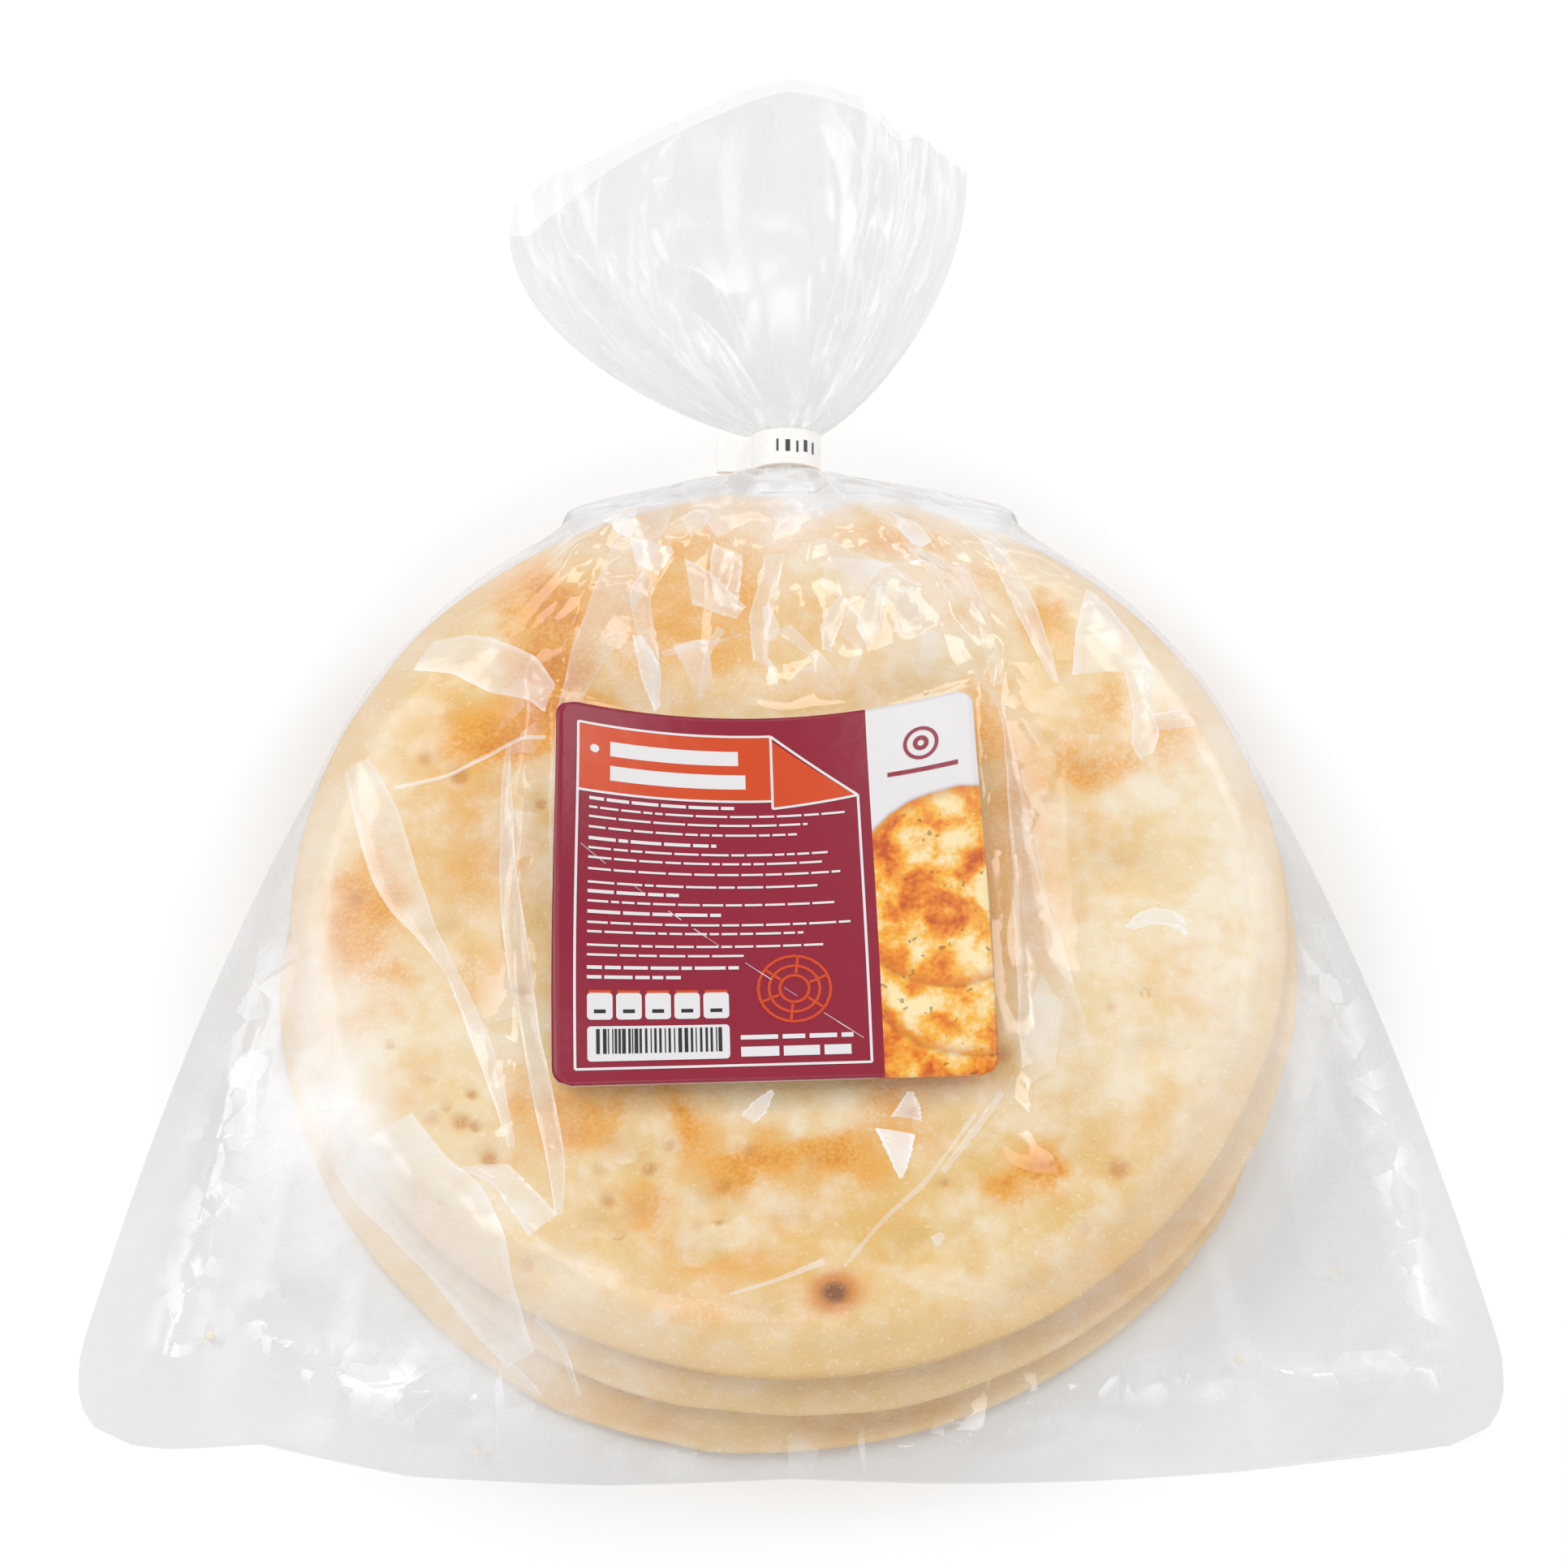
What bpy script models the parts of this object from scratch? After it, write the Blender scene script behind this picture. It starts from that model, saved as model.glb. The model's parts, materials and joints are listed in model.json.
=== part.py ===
# Pack of three round flatbreads in a clear bag.
# The bag lies on its flat side, its mouth gathered behind the stack by a white clip, with a label on top.
# Metres, +Z up. The origin is on the surface the pack lies on, under the middle of the top bread,
# and +Y runs from the bag's bottom seam to its gathered mouth.

import math

import bmesh
import bpy
import numpy as np

# Breads, lowest first: radius, centre x, centre y. Each is a disc with a round rim.
BREADS = ((0.106, -0.002, -0.0068), (0.105, 0.002, -0.0038), (0.104, 0.0, 0.0))
BREAD_THICKNESS = 0.0093
STACK_TOP = BREAD_THICKNESS * len(BREADS)
FILM_LIFT = 0.0010  # film surface above the bread that it lies on

# Plan of the lying bag: widest just behind the seam's round corners, from where it draws in to the neck
SEAM_Y = -0.1180
SEAM_BOW = 0.0075  # how far the seam's ends lie behind its middle
SEAM_HALF_WIDTH = 0.1315
CORNER_LENGTH = 0.0150
SKIRT_Y = -0.0970
SKIRT_HALF_WIDTH = 0.1432
TAPER_LENGTH = 0.2040  # from the widest place to where the sides would meet
TAPER_POWER = 0.329
MIDDLE_X = 0.0004
SHOULDER_Y = 0.0990
SHOULDER_SHARES = (0.42, 0.72, 0.92)
FOLD_HEIGHT_FRONT = 0.0009  # height of the bag's side fold at the seam and beside the stack
FOLD_HEIGHT_BACK = 0.0115
FOLD_RISE_END = 0.0300
FILM_SAG = 6.0  # slope that the free film gains for each metre of its length
UNDER_LIFT_WIDTH = 0.0160  # how far in from its side folds the bag's underside lifts
UNDER_LIFT_Y = 0.0840  # behind this the underside rises towards the neck
UNDER_LIFT_LENGTH = 0.0260
UNDER_NECK_HEIGHT = 0.0160
LEAST_DEPTH = 0.0010

# Neck: the gathered mouth inside the clip, on an axis that rises towards the back
NECK = np.array([-0.0006, 0.1115, 0.0235])
NECK_TILT = math.radians(14.0)
NECK_RADIUS_X = 0.0062
NECK_RADIUS_Z = 0.0052
CLIP_WIDTH = 0.0080
CLIP_THICKNESS = 0.0008
CLIP_GAP = 0.0007
CLIP_TAIL = 0.0075
NECK_HALF_LENGTH = CLIP_WIDTH / 2 + 0.0006

# Tuft: the loose mouth of the bag behind the clip, opened into a fan
TUFT_LEFT = 0.0600
TUFT_RIGHT = 0.0415
TUFT_DEPTH = 0.0185
TUFT_LENGTH = 0.0850
TUFT_FLARE = 0.64
TUFT_LOSS_LEFT = 0.36  # how much shorter the fan's sides are than its middle
TUFT_LOSS_RIGHT = 0.27
MOUTH_CLOSING = 0.45
MOUTH_HOLLOW = 0.0080

# Pleats run along the bag into the neck: count, share and phase of each wave
PLEATS = ((13, 0.60, 0.4), (7, 0.40, 2.1), (5, 0.25, 4.0))
PLEAT_HEIGHT = 0.0022
PLEAT_REACH = 0.0750

# Label: a stiff sheet stuck on the film. Its upper corners stand up on two long folds.
LABEL_WIDTH = 0.0900
LABEL_LENGTH = 0.0840
LABEL_FOOT = np.array([-0.00265, -0.0430])
LABEL_TURN = math.radians(1.7)
LABEL_CORNER = 0.0040
LABEL_THICKNESS = 0.0006
LABEL_GAP = 0.0003
LABEL_BASE = STACK_TOP + 0.0016
LABEL_RISE = 0.0110
LABEL_SIDE_MARGIN = 0.0058  # film round the label that keeps the label's height
LABEL_END_MARGIN = 0.0090
LABEL_COLUMNS = 16
LABEL_ROWS = 20

# Long folds of loose film beside the label, from the neck to the front: points x, y and height over the stack
LEFT_FOLD = ((-0.006, 0.104, 0.001), (-0.036, 0.085, 0.008), (-0.047, 0.050, 0.012), (-0.049, 0.0, 0.007),
             (-0.050, -0.050, 0.001))
RIGHT_FOLD = ((0.005, 0.104, 0.001), (0.022, 0.082, 0.008), (0.039, 0.050, 0.012), (0.044, 0.0, 0.007),
              (0.054, -0.050, 0.001))
FOLD_SLOPE = 1.5

ACROSS = 48  # faces across the top of each section, and as many below
BODY_ROWS = 38
ROW_EASE = 0.045  # share of the rows' spacing that moves from the ends to the middle
TUFT_ROWS = 9
RELAX_STEPS = 2500


def smooth_step(value):
    share = np.clip(value, 0.0, 1.0)
    return share * share * (3.0 - 2.0 * share)


def stack_height(x, y):
    """Top of the bread stack at a plan point, and 0 beside it."""
    height = np.zeros(np.broadcast(x, y).shape)
    rim = BREAD_THICKNESS / 2
    for level, (radius, centre_x, centre_y) in enumerate(BREADS):
        reach = (np.hypot(x - centre_x, y - centre_y) - (radius - rim)) / rim
        rounding = rim * np.sqrt(1.0 - np.clip(reach, 0.0, 1.0) ** 2)
        top = (level + 0.5) * BREAD_THICKNESS + rounding
        height = np.where(reach < 1.0, np.maximum(height, top), height)
    return height


def label_rise(length_share):
    """How far the label's long edges stand over its middle, along its length."""
    return LABEL_RISE * smooth_step(length_share) ** 0.8


def label_half_chord(length_share):
    """Half the label's width in plan: the sheet keeps its width as it bends up."""
    rise = label_rise(length_share)
    flat = LABEL_WIDTH / 2
    return flat / (1.0 + 2.0 / 3.0 * (rise / flat) ** 2)


def label_shares(x, y):
    """Place of a plan point on the label: across from -1 to 1, and along from 0 to 1."""
    turn_cos, turn_sin = math.cos(LABEL_TURN), math.sin(LABEL_TURN)
    off_x, off_y = x - LABEL_FOOT[0], y - LABEL_FOOT[1]
    along = (off_y * turn_cos - off_x * turn_sin) / LABEL_LENGTH
    across = (off_x * turn_cos + off_y * turn_sin) / label_half_chord(np.clip(along, 0.0, 1.0))
    return across, along


def label_bed(across, along):
    """Height of the film under the label."""
    return LABEL_BASE + label_rise(along) * np.clip(np.abs(across), 0.0, 1.15) ** 2


def fold_height(x, y, fold):
    """A ridge of loose film along a line of points, and its height at a plan point."""
    best = np.zeros(np.broadcast(x, y).shape)
    for (ax, ay, a_height), (bx, by, b_height) in zip(fold[:-1], fold[1:]):
        run_x, run_y = bx - ax, by - ay
        share = np.clip(((x - ax) * run_x + (y - ay) * run_y) / (run_x**2 + run_y**2), 0.0, 1.0)
        away = np.hypot(x - ax - share * run_x, y - ay - share * run_y)
        crest = STACK_TOP + a_height + share * (b_height - a_height)
        best = np.maximum(best, crest - FOLD_SLOPE * away)
    return best


def half_width(y):
    """Half width of the lying bag at a distance along it."""
    corner = np.clip((y - SEAM_Y) / CORNER_LENGTH, 0.0, 1.0)
    skirt = SEAM_HALF_WIDTH + (SKIRT_HALF_WIDTH - SEAM_HALF_WIDTH) * np.sqrt(1.0 - (1.0 - corner) ** 2)
    along = np.clip((y - SKIRT_Y) / TAPER_LENGTH, 0.0, 0.999)
    return skirt * (1.0 - along) ** TAPER_POWER


def body_lengths():
    """Distances of the body's sections along the bag, a little closer together at its ends."""
    share = np.linspace(0.0, 1.0, BODY_ROWS)
    eased = share - ROW_EASE * np.sin(2.0 * math.pi * share)
    return SEAM_Y + (SHOULDER_Y - SEAM_Y) * eased


def across_shares():
    """Places across the bag from -1 to 1, closer together at the side folds."""
    angle = np.linspace(math.pi, 0.0, ACROSS + 1)
    return 0.6 * np.linspace(-1.0, 1.0, ACROSS + 1) + 0.4 * np.cos(angle)


def pleat_wave(angle):
    """Pleats round the gathered mouth, from -1 to 1."""
    return sum(share * np.cos(count * angle + phase) for count, share, phase in PLEATS)


def fold_edge_height(y):
    """Height of the bag's side fold along its length."""
    share = smooth_step((y - SEAM_Y) / (FOLD_RISE_END - SEAM_Y))
    return FOLD_HEIGHT_FRONT + (FOLD_HEIGHT_BACK - FOLD_HEIGHT_FRONT) * share


def plan_grid():
    """Plan points of the body's sections, and the places across."""
    across = across_shares()
    length, share = np.meshgrid(body_lengths(), across, indexing="ij")
    bow = SEAM_BOW * (1.0 - smooth_step((length - SEAM_Y) / (FOLD_RISE_END - SEAM_Y)))
    return MIDDLE_X + share * half_width(length), length + bow * share**2, share


def drape(x, y, share):
    """Film stretched from the bag's edges over the stack, the folds and the label, as a membrane at rest."""
    floor = stack_height(x, y)
    floor = np.where(floor > 0.0, floor + FILM_LIFT, FOLD_HEIGHT_FRONT)
    floor = np.maximum(floor, fold_height(x, y, LEFT_FOLD))
    floor = np.maximum(floor, fold_height(x, y, RIGHT_FOLD))
    across, along = label_shares(x, y)
    side_margin, end_margin = 1.0 + LABEL_SIDE_MARGIN / (LABEL_WIDTH / 2), LABEL_END_MARGIN / LABEL_LENGTH
    held = (np.abs(across) < side_margin) & (along > -end_margin) & (along < 1.0 + end_margin)
    held_height = label_bed(across, along)
    edge = fold_edge_height(y)
    shoulder = NECK[2] - math.sin(NECK_TILT) * CLIP_WIDTH + NECK_RADIUS_Z * np.sqrt(1.0 - share[-1] ** 2)
    film = np.maximum(floor, edge)
    pull_x = 4.0 * (x[1:-1, 2:] - x[1:-1, :-2]) ** -2.0
    pull_y = 4.0 * (y[2:, 1:-1] - y[:-2, 1:-1]) ** -2.0
    for _ in range(RELAX_STEPS):
        pull = pull_x * (film[1:-1, 2:] + film[1:-1, :-2]) + pull_y * (film[2:, 1:-1] + film[:-2, 1:-1])
        rest = (pull - FILM_SAG) / (2.0 * (pull_x + pull_y))
        film[1:-1, 1:-1] = np.maximum(rest, floor[1:-1, 1:-1])
        film[held] = held_height[held]
        film[0] = FOLD_HEIGHT_FRONT
        film[:, 0], film[:, -1] = edge[:, 0], edge[:, -1]
        film[-1] = np.maximum(floor[-1], 0.7 * shoulder + 0.3 * edge[-1])
        film[-1, 0], film[-1, -1] = edge[-1, 0], edge[-1, -1]
    return film, held


def underside(y, share):
    """The film below: flat on the surface, lifting to the side folds and to the neck."""
    side = smooth_step(1.0 - (1.0 - np.abs(share)) * half_width(y) / UNDER_LIFT_WIDTH)
    neck = smooth_step((y - UNDER_LIFT_Y) / UNDER_LIFT_LENGTH) * UNDER_NECK_HEIGHT
    return np.maximum(fold_edge_height(y) * side, neck * (1.0 - 0.3 * share**2))


def body_sections():
    """Closed loops of points from the seam to the shoulder: over the top, then back below."""
    x, y, share = plan_grid()
    top, held = drape(x, y, share)
    angle = np.linspace(math.pi, 0.0, ACROSS + 1)
    near_neck = smooth_step((y - (SHOULDER_Y - PLEAT_REACH)) / PLEAT_REACH) * (1.0 - share**2)
    top = top + np.where(held, 0.0, PLEAT_HEIGHT * near_neck * (1.0 + pleat_wave(angle)) / 2.0)
    bottom = underside(y, share)
    top[:, 1:-1] = np.maximum(top[:, 1:-1], bottom[:, 1:-1] + LEAST_DEPTH)
    over = np.stack([x, y, top], axis=-1)
    under = np.stack([x, y, bottom], axis=-1)[:, -2:0:-1]
    return list(np.concatenate([over, under], axis=1))


def loop_angles():
    """Angle of each loop point round the neck, to match the body's sections."""
    half = np.linspace(math.pi, 0.0, ACROSS + 1)
    return np.concatenate([half, -half[-2:0:-1]])


def on_neck_axis(off_x, off_z, distance):
    """Points beside the neck's axis, at a distance along it."""
    run_y, run_z = math.cos(NECK_TILT), math.sin(NECK_TILT)
    return np.stack([NECK[0] + off_x, NECK[1] + distance * run_y - off_z * run_z,
                     NECK[2] + distance * run_z + off_z * run_y], axis=-1)


def neck_ring(angle):
    """Offsets of the gathered film from the neck's axis."""
    fullness = 1.0 + 0.05 * pleat_wave(angle)
    return NECK_RADIUS_X * np.cos(angle) * fullness, NECK_RADIUS_Z * np.sin(angle) * fullness


def neck_sections():
    """Loops through the clip."""
    off_x, off_z = neck_ring(loop_angles())
    places = (-NECK_HALF_LENGTH, 0.0, NECK_HALF_LENGTH)
    return [on_neck_axis(off_x, off_z, np.full(off_x.shape, place)) for place in places]


def shoulder_sections(body_end, neck_start):
    """Loops between the body's last section and the neck, drawn in as the film gathers."""
    reach = neck_start - body_end
    return [body_end + reach * np.array([share**1.9, share**0.65, share]) for share in SHOULDER_SHARES]


def tuft_sections():
    """Loops from the clip to the bag's open mouth, flaring into a fan with deep pleats."""
    angle = loop_angles()
    wave = pleat_wave(angle)
    on_left = np.cos(angle) < 0.0
    side = np.where(on_left, TUFT_LEFT, TUFT_RIGHT)
    loss = np.where(on_left, TUFT_LOSS_LEFT, TUFT_LOSS_RIGHT)
    rim_x = side * np.cos(angle) * (1.0 + 0.05 * wave)
    rim_z = TUFT_DEPTH * np.sin(angle) * (1.0 + 0.45 * wave)
    rim_length = TUFT_LENGTH * (1.0 - loss * np.abs(rim_x / side) ** 1.5) * (1.0 + 0.02 * wave)
    neck_x, neck_z = neck_ring(angle)
    sections = []
    for share in np.linspace(0.0, 1.0, TUFT_ROWS + 1)[1:] ** 1.25:
        turn = math.sin(share * math.pi / 2)
        off_x = neck_x + (rim_x - neck_x) * turn**TUFT_FLARE
        off_z = neck_z + (rim_z - neck_z) * turn**0.8 * (1.0 - MOUTH_CLOSING * share**2)
        sections.append(on_neck_axis(off_x, off_z, NECK_HALF_LENGTH + (rim_length - NECK_HALF_LENGTH) * share))
    return sections


def loft(sections, end_point):
    """A closed mesh through the loops: the first is closed flat, the last by a fan to end_point."""
    mesh = bmesh.new()
    rings = [[mesh.verts.new(point) for point in section] for section in sections]
    count = len(rings[0])
    for near, far in zip(rings[:-1], rings[1:]):
        for here in range(count):
            after = (here + 1) % count
            mesh.faces.new((near[here], near[after], far[after], far[here]))
    over, under = rings[0][:count // 2 + 1], [rings[0][0], *rings[0][:count // 2 - 1:-1]]
    for step in range(count // 2):
        corners = (over[step], under[step], under[step + 1], over[step + 1])
        mesh.faces.new(tuple(dict.fromkeys(corners)))
    centre = mesh.verts.new(end_point)
    for here in range(count):
        mesh.faces.new((rings[-1][here], rings[-1][(here + 1) % count], centre))
    bmesh.ops.triangulate(mesh, faces=mesh.faces[:])
    bmesh.ops.recalc_face_normals(mesh, faces=mesh.faces[:])
    return mesh


def finish_material(name, colour, roughness):
    material = bpy.data.materials.new(name)
    material.use_nodes = True
    shader = material.node_tree.nodes["Principled BSDF"]
    shader.inputs["Base Color"].default_value = (*colour, 1.0)
    shader.inputs["Roughness"].default_value = roughness
    shader.inputs["Metallic"].default_value = 0.0
    return material


def add_object(name, data, material, collection):
    data.materials.append(material)
    made = bpy.data.objects.new(name, data)
    collection.objects.link(made)
    return made


def make_bag(collection):
    """The closed bag with the stack in it, as one solid out to the film."""
    body, neck = body_sections(), neck_sections()
    hollow = on_neck_axis(-0.006, 0.0, TUFT_LENGTH - MOUTH_HOLLOW)
    mesh = loft([*body, *shoulder_sections(body[-1], neck[0]), *neck, *tuft_sections()], hollow)
    data = bpy.data.meshes.new("bag")
    mesh.to_mesh(data)
    mesh.free()
    data.shade_smooth()
    data.set_sharp_from_angle(angle=math.radians(40.0))
    add_object("bag", data, finish_material("clear_film", (0.93, 0.86, 0.70), 0.15), collection)


def label_corner_cut(along):
    """How much the label's rounded corners take off its half width at a place along it."""
    near_end = np.minimum(along, 1.0 - along) * LABEL_LENGTH
    inside = np.clip(near_end / LABEL_CORNER, 0.0, 1.0)
    return LABEL_CORNER * (1.0 - np.sqrt(1.0 - (1.0 - inside) ** 2))


def make_label(collection):
    """The label: a thin sheet that follows the film, from a grid laid flat and then bent."""
    mesh = bmesh.new()
    bmesh.ops.create_grid(mesh, x_segments=LABEL_COLUMNS, y_segments=LABEL_ROWS, size=1.0)
    turn_cos, turn_sin = math.cos(LABEL_TURN), math.sin(LABEL_TURN)
    for vertex in mesh.verts:
        across = vertex.co.x
        centred = vertex.co.y
        along = (0.25 * centred + 0.75 * math.sin(centred * math.pi / 2) + 1.0) / 2
        cut = label_corner_cut(along) / (LABEL_WIDTH / 2)
        across *= 1.0 - cut
        off_x = across * label_half_chord(along)
        off_y = along * LABEL_LENGTH
        vertex.co.x = LABEL_FOOT[0] + off_x * turn_cos - off_y * turn_sin
        vertex.co.y = LABEL_FOOT[1] + off_x * turn_sin + off_y * turn_cos
        vertex.co.z = label_bed(across, along) + LABEL_GAP + LABEL_THICKNESS
    data = bpy.data.meshes.new("label")
    mesh.to_mesh(data)
    mesh.free()
    label = add_object("label", data, finish_material("label_paper", (0.30, 0.035, 0.085), 0.35), collection)
    shell = label.modifiers.new("thickness", "SOLIDIFY")
    shell.thickness = LABEL_THICKNESS
    shell.offset = -1.0


def clip_outline():
    """Outer edge of the clip seen along the neck: a ring whose two ends meet in a flat tail."""
    radius_x = NECK_RADIUS_X + CLIP_GAP + CLIP_THICKNESS
    radius_z = NECK_RADIUS_Z + CLIP_GAP + CLIP_THICKNESS
    open_angle = math.asin(CLIP_THICKNESS / radius_z)
    ring = np.linspace(math.pi - open_angle, open_angle - math.pi, 40)
    points = [(radius_x * math.cos(a), radius_z * math.sin(a)) for a in ring]
    tip = np.linspace(-math.pi / 2, -3 * math.pi / 2, 7)
    tail_x = -radius_x - CLIP_TAIL + CLIP_THICKNESS
    points += [(tail_x + CLIP_THICKNESS * math.cos(a), CLIP_THICKNESS * math.sin(a)) for a in tip]
    return points


def clip_hole():
    radius_x, radius_z = NECK_RADIUS_X + CLIP_GAP, NECK_RADIUS_Z + CLIP_GAP
    around = np.linspace(0.0, 2.0 * math.pi, 40, endpoint=False)
    return [(radius_x * math.cos(a), radius_z * math.sin(a)) for a in around]


def make_clip(collection):
    """The clip: a flat strip closed round the neck, as an extruded outline on the neck's axis."""
    curve = bpy.data.curves.new("clip", "CURVE")
    curve.dimensions = "2D"
    curve.fill_mode = "BOTH"
    curve.extrude = CLIP_WIDTH / 2
    for points in (clip_outline(), clip_hole()):
        spline = curve.splines.new("POLY")
        spline.points.add(len(points) - 1)
        for place, (off_x, off_z) in zip(spline.points, points):
            place.co = (off_x, off_z, 0.0, 1.0)
        spline.use_cyclic_u = True
    clip = add_object("clip", curve, finish_material("clip_plastic", (0.86, 0.86, 0.84), 0.4), collection)
    clip.location = NECK
    clip.rotation_euler = (math.pi / 2 + NECK_TILT, 0.0, 0.0)


def main():
    for old in list(bpy.data.objects):
        bpy.data.objects.remove(old)
    pack = bpy.data.collections.new("flatbread_pack")
    bpy.context.scene.collection.children.link(pack)
    make_bag(pack)
    make_label(pack)
    make_clip(pack)


main()
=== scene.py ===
# Looks of a pack of round flatbreads: three breads in a clear bag with a clip and a label.
# Metres, in the frame of the solids: the pack lies on z = 0 and its gathered mouth points along +Y.

import json
import math

import bpy
import numpy as np
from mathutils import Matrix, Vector, geometry

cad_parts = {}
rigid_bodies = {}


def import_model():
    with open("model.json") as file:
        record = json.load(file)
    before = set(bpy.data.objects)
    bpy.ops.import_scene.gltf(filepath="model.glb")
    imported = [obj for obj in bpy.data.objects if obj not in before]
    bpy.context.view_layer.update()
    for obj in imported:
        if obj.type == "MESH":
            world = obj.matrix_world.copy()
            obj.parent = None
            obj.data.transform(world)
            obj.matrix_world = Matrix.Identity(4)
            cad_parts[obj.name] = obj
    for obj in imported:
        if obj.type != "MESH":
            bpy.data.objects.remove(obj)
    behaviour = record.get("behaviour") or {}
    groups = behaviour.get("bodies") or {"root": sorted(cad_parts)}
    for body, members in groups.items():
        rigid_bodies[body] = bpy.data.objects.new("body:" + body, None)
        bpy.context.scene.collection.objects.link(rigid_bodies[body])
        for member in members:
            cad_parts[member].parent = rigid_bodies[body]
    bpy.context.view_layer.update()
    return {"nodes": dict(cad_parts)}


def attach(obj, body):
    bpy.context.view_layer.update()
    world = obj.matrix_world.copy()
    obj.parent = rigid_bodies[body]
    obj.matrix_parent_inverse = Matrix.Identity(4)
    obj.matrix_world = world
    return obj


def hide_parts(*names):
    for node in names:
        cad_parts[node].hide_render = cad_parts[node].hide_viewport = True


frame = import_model()
print("solids loaded:", ", ".join(sorted(frame["nodes"])))

# camera, lights and floor

view = {
    "place": (-0.001, -0.41519, 0.82489),
    "elevation": 61.0,
    "lens": 100.0,
    "sensor": 36.0,
}

studio = {
    "worldColour": (0.97, 0.98, 1.0),
    "worldStrength": 0.47,
    "floorColour": (0.93, 0.93, 0.93),
    "floorLevel": -0.0006,
    "floorReach": 4.0,
    # softboxes: name, place, what it points at, width, height, power
    "softboxes": (
        ("softLeft", (-1.10, 0.30, 0.95), (0.0, 0.0, 0.02), 0.80, 0.62, 5.4),
        ("softRight", (1.15, 0.50, 0.80), (0.0, 0.02, 0.02), 0.60, 0.75, 4.6),
        ("softFront", (0.20, -1.45, 0.95), (0.0, 0.0, 0.0), 1.00, 0.60, 7.2),
        ("softTop", (-0.25, -0.10, 1.60), (0.0, 0.0, 0.0), 0.62, 0.46, 3.8),
        ("softBackRight", (0.78, 1.05, 1.00), (0.0, 0.0, 0.02), 0.50, 0.40, 2.7),
        ("softBackLeft", (-0.80, 0.95, 1.10), (0.0, 0.0, 0.02), 0.50, 0.40, 2.7),
        ("softFarBack", (0.05, 1.60, 0.50), (0.0, 0.0, 0.02), 0.90, 0.28, 2.4),
    ),
}


def addCamera():
    data = bpy.data.cameras.new("camera")
    data.lens = view["lens"]
    data.sensor_width = view["sensor"]
    camera = bpy.data.objects.new("camera", data)
    camera.location = view["place"]
    camera.rotation_euler = (math.radians(90.0 - view["elevation"]), 0.0, 0.0)
    bpy.context.scene.collection.objects.link(camera)
    bpy.context.scene.camera = camera


def addSoftbox(name, place, target, width, height, power):
    data = bpy.data.lights.new(name, "AREA")
    data.shape = "RECTANGLE"
    data.size = width
    data.size_y = height
    data.energy = power
    lamp = bpy.data.objects.new(name, data)
    lamp.location = place
    aim = Vector(target) - Vector(place)
    lamp.rotation_euler = aim.to_track_quat("-Z", "Y").to_euler()
    bpy.context.scene.collection.objects.link(lamp)


def addWorld():
    world = bpy.data.worlds.new("studio")
    world.use_nodes = True
    background = world.node_tree.nodes["Background"]
    background.inputs["Color"].default_value = (*studio["worldColour"], 1.0)
    background.inputs["Strength"].default_value = studio["worldStrength"]
    bpy.context.scene.world = world


addCamera()
addWorld()
for softbox in studio["softboxes"]:
    addSoftbox(*softbox)
bpy.context.scene.view_settings.view_transform = "Standard"
print("camera and lights placed")

# shader helpers


def linear(red, green, blue):
    # colours are written as they look on a screen, from 0 to 255
    values = [value / 255.0 for value in (red, green, blue)]
    return tuple(v / 12.92 if v <= 0.04045 else ((v + 0.055) / 1.055) ** 2.4 for v in values)


class Wire:
    # a socket that can be used in sums

    def __init__(self, paint, socket):
        self.paint = paint
        self.socket = socket

    def sum(self, operation, first, second):
        return self.paint.node("ShaderNodeMath", {"operation": operation}, {0: first, 1: second})

    def __add__(self, other):
        return self.sum("ADD", self, other)

    def __radd__(self, other):
        return self.sum("ADD", other, self)

    def __sub__(self, other):
        return self.sum("SUBTRACT", self, other)

    def __rsub__(self, other):
        return self.sum("SUBTRACT", other, self)

    def __mul__(self, other):
        return self.sum("MULTIPLY", self, other)

    def __rmul__(self, other):
        return self.sum("MULTIPLY", other, self)

    def __truediv__(self, other):
        return self.sum("DIVIDE", self, other)

    def __pow__(self, other):
        return self.sum("POWER", self, other)


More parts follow.
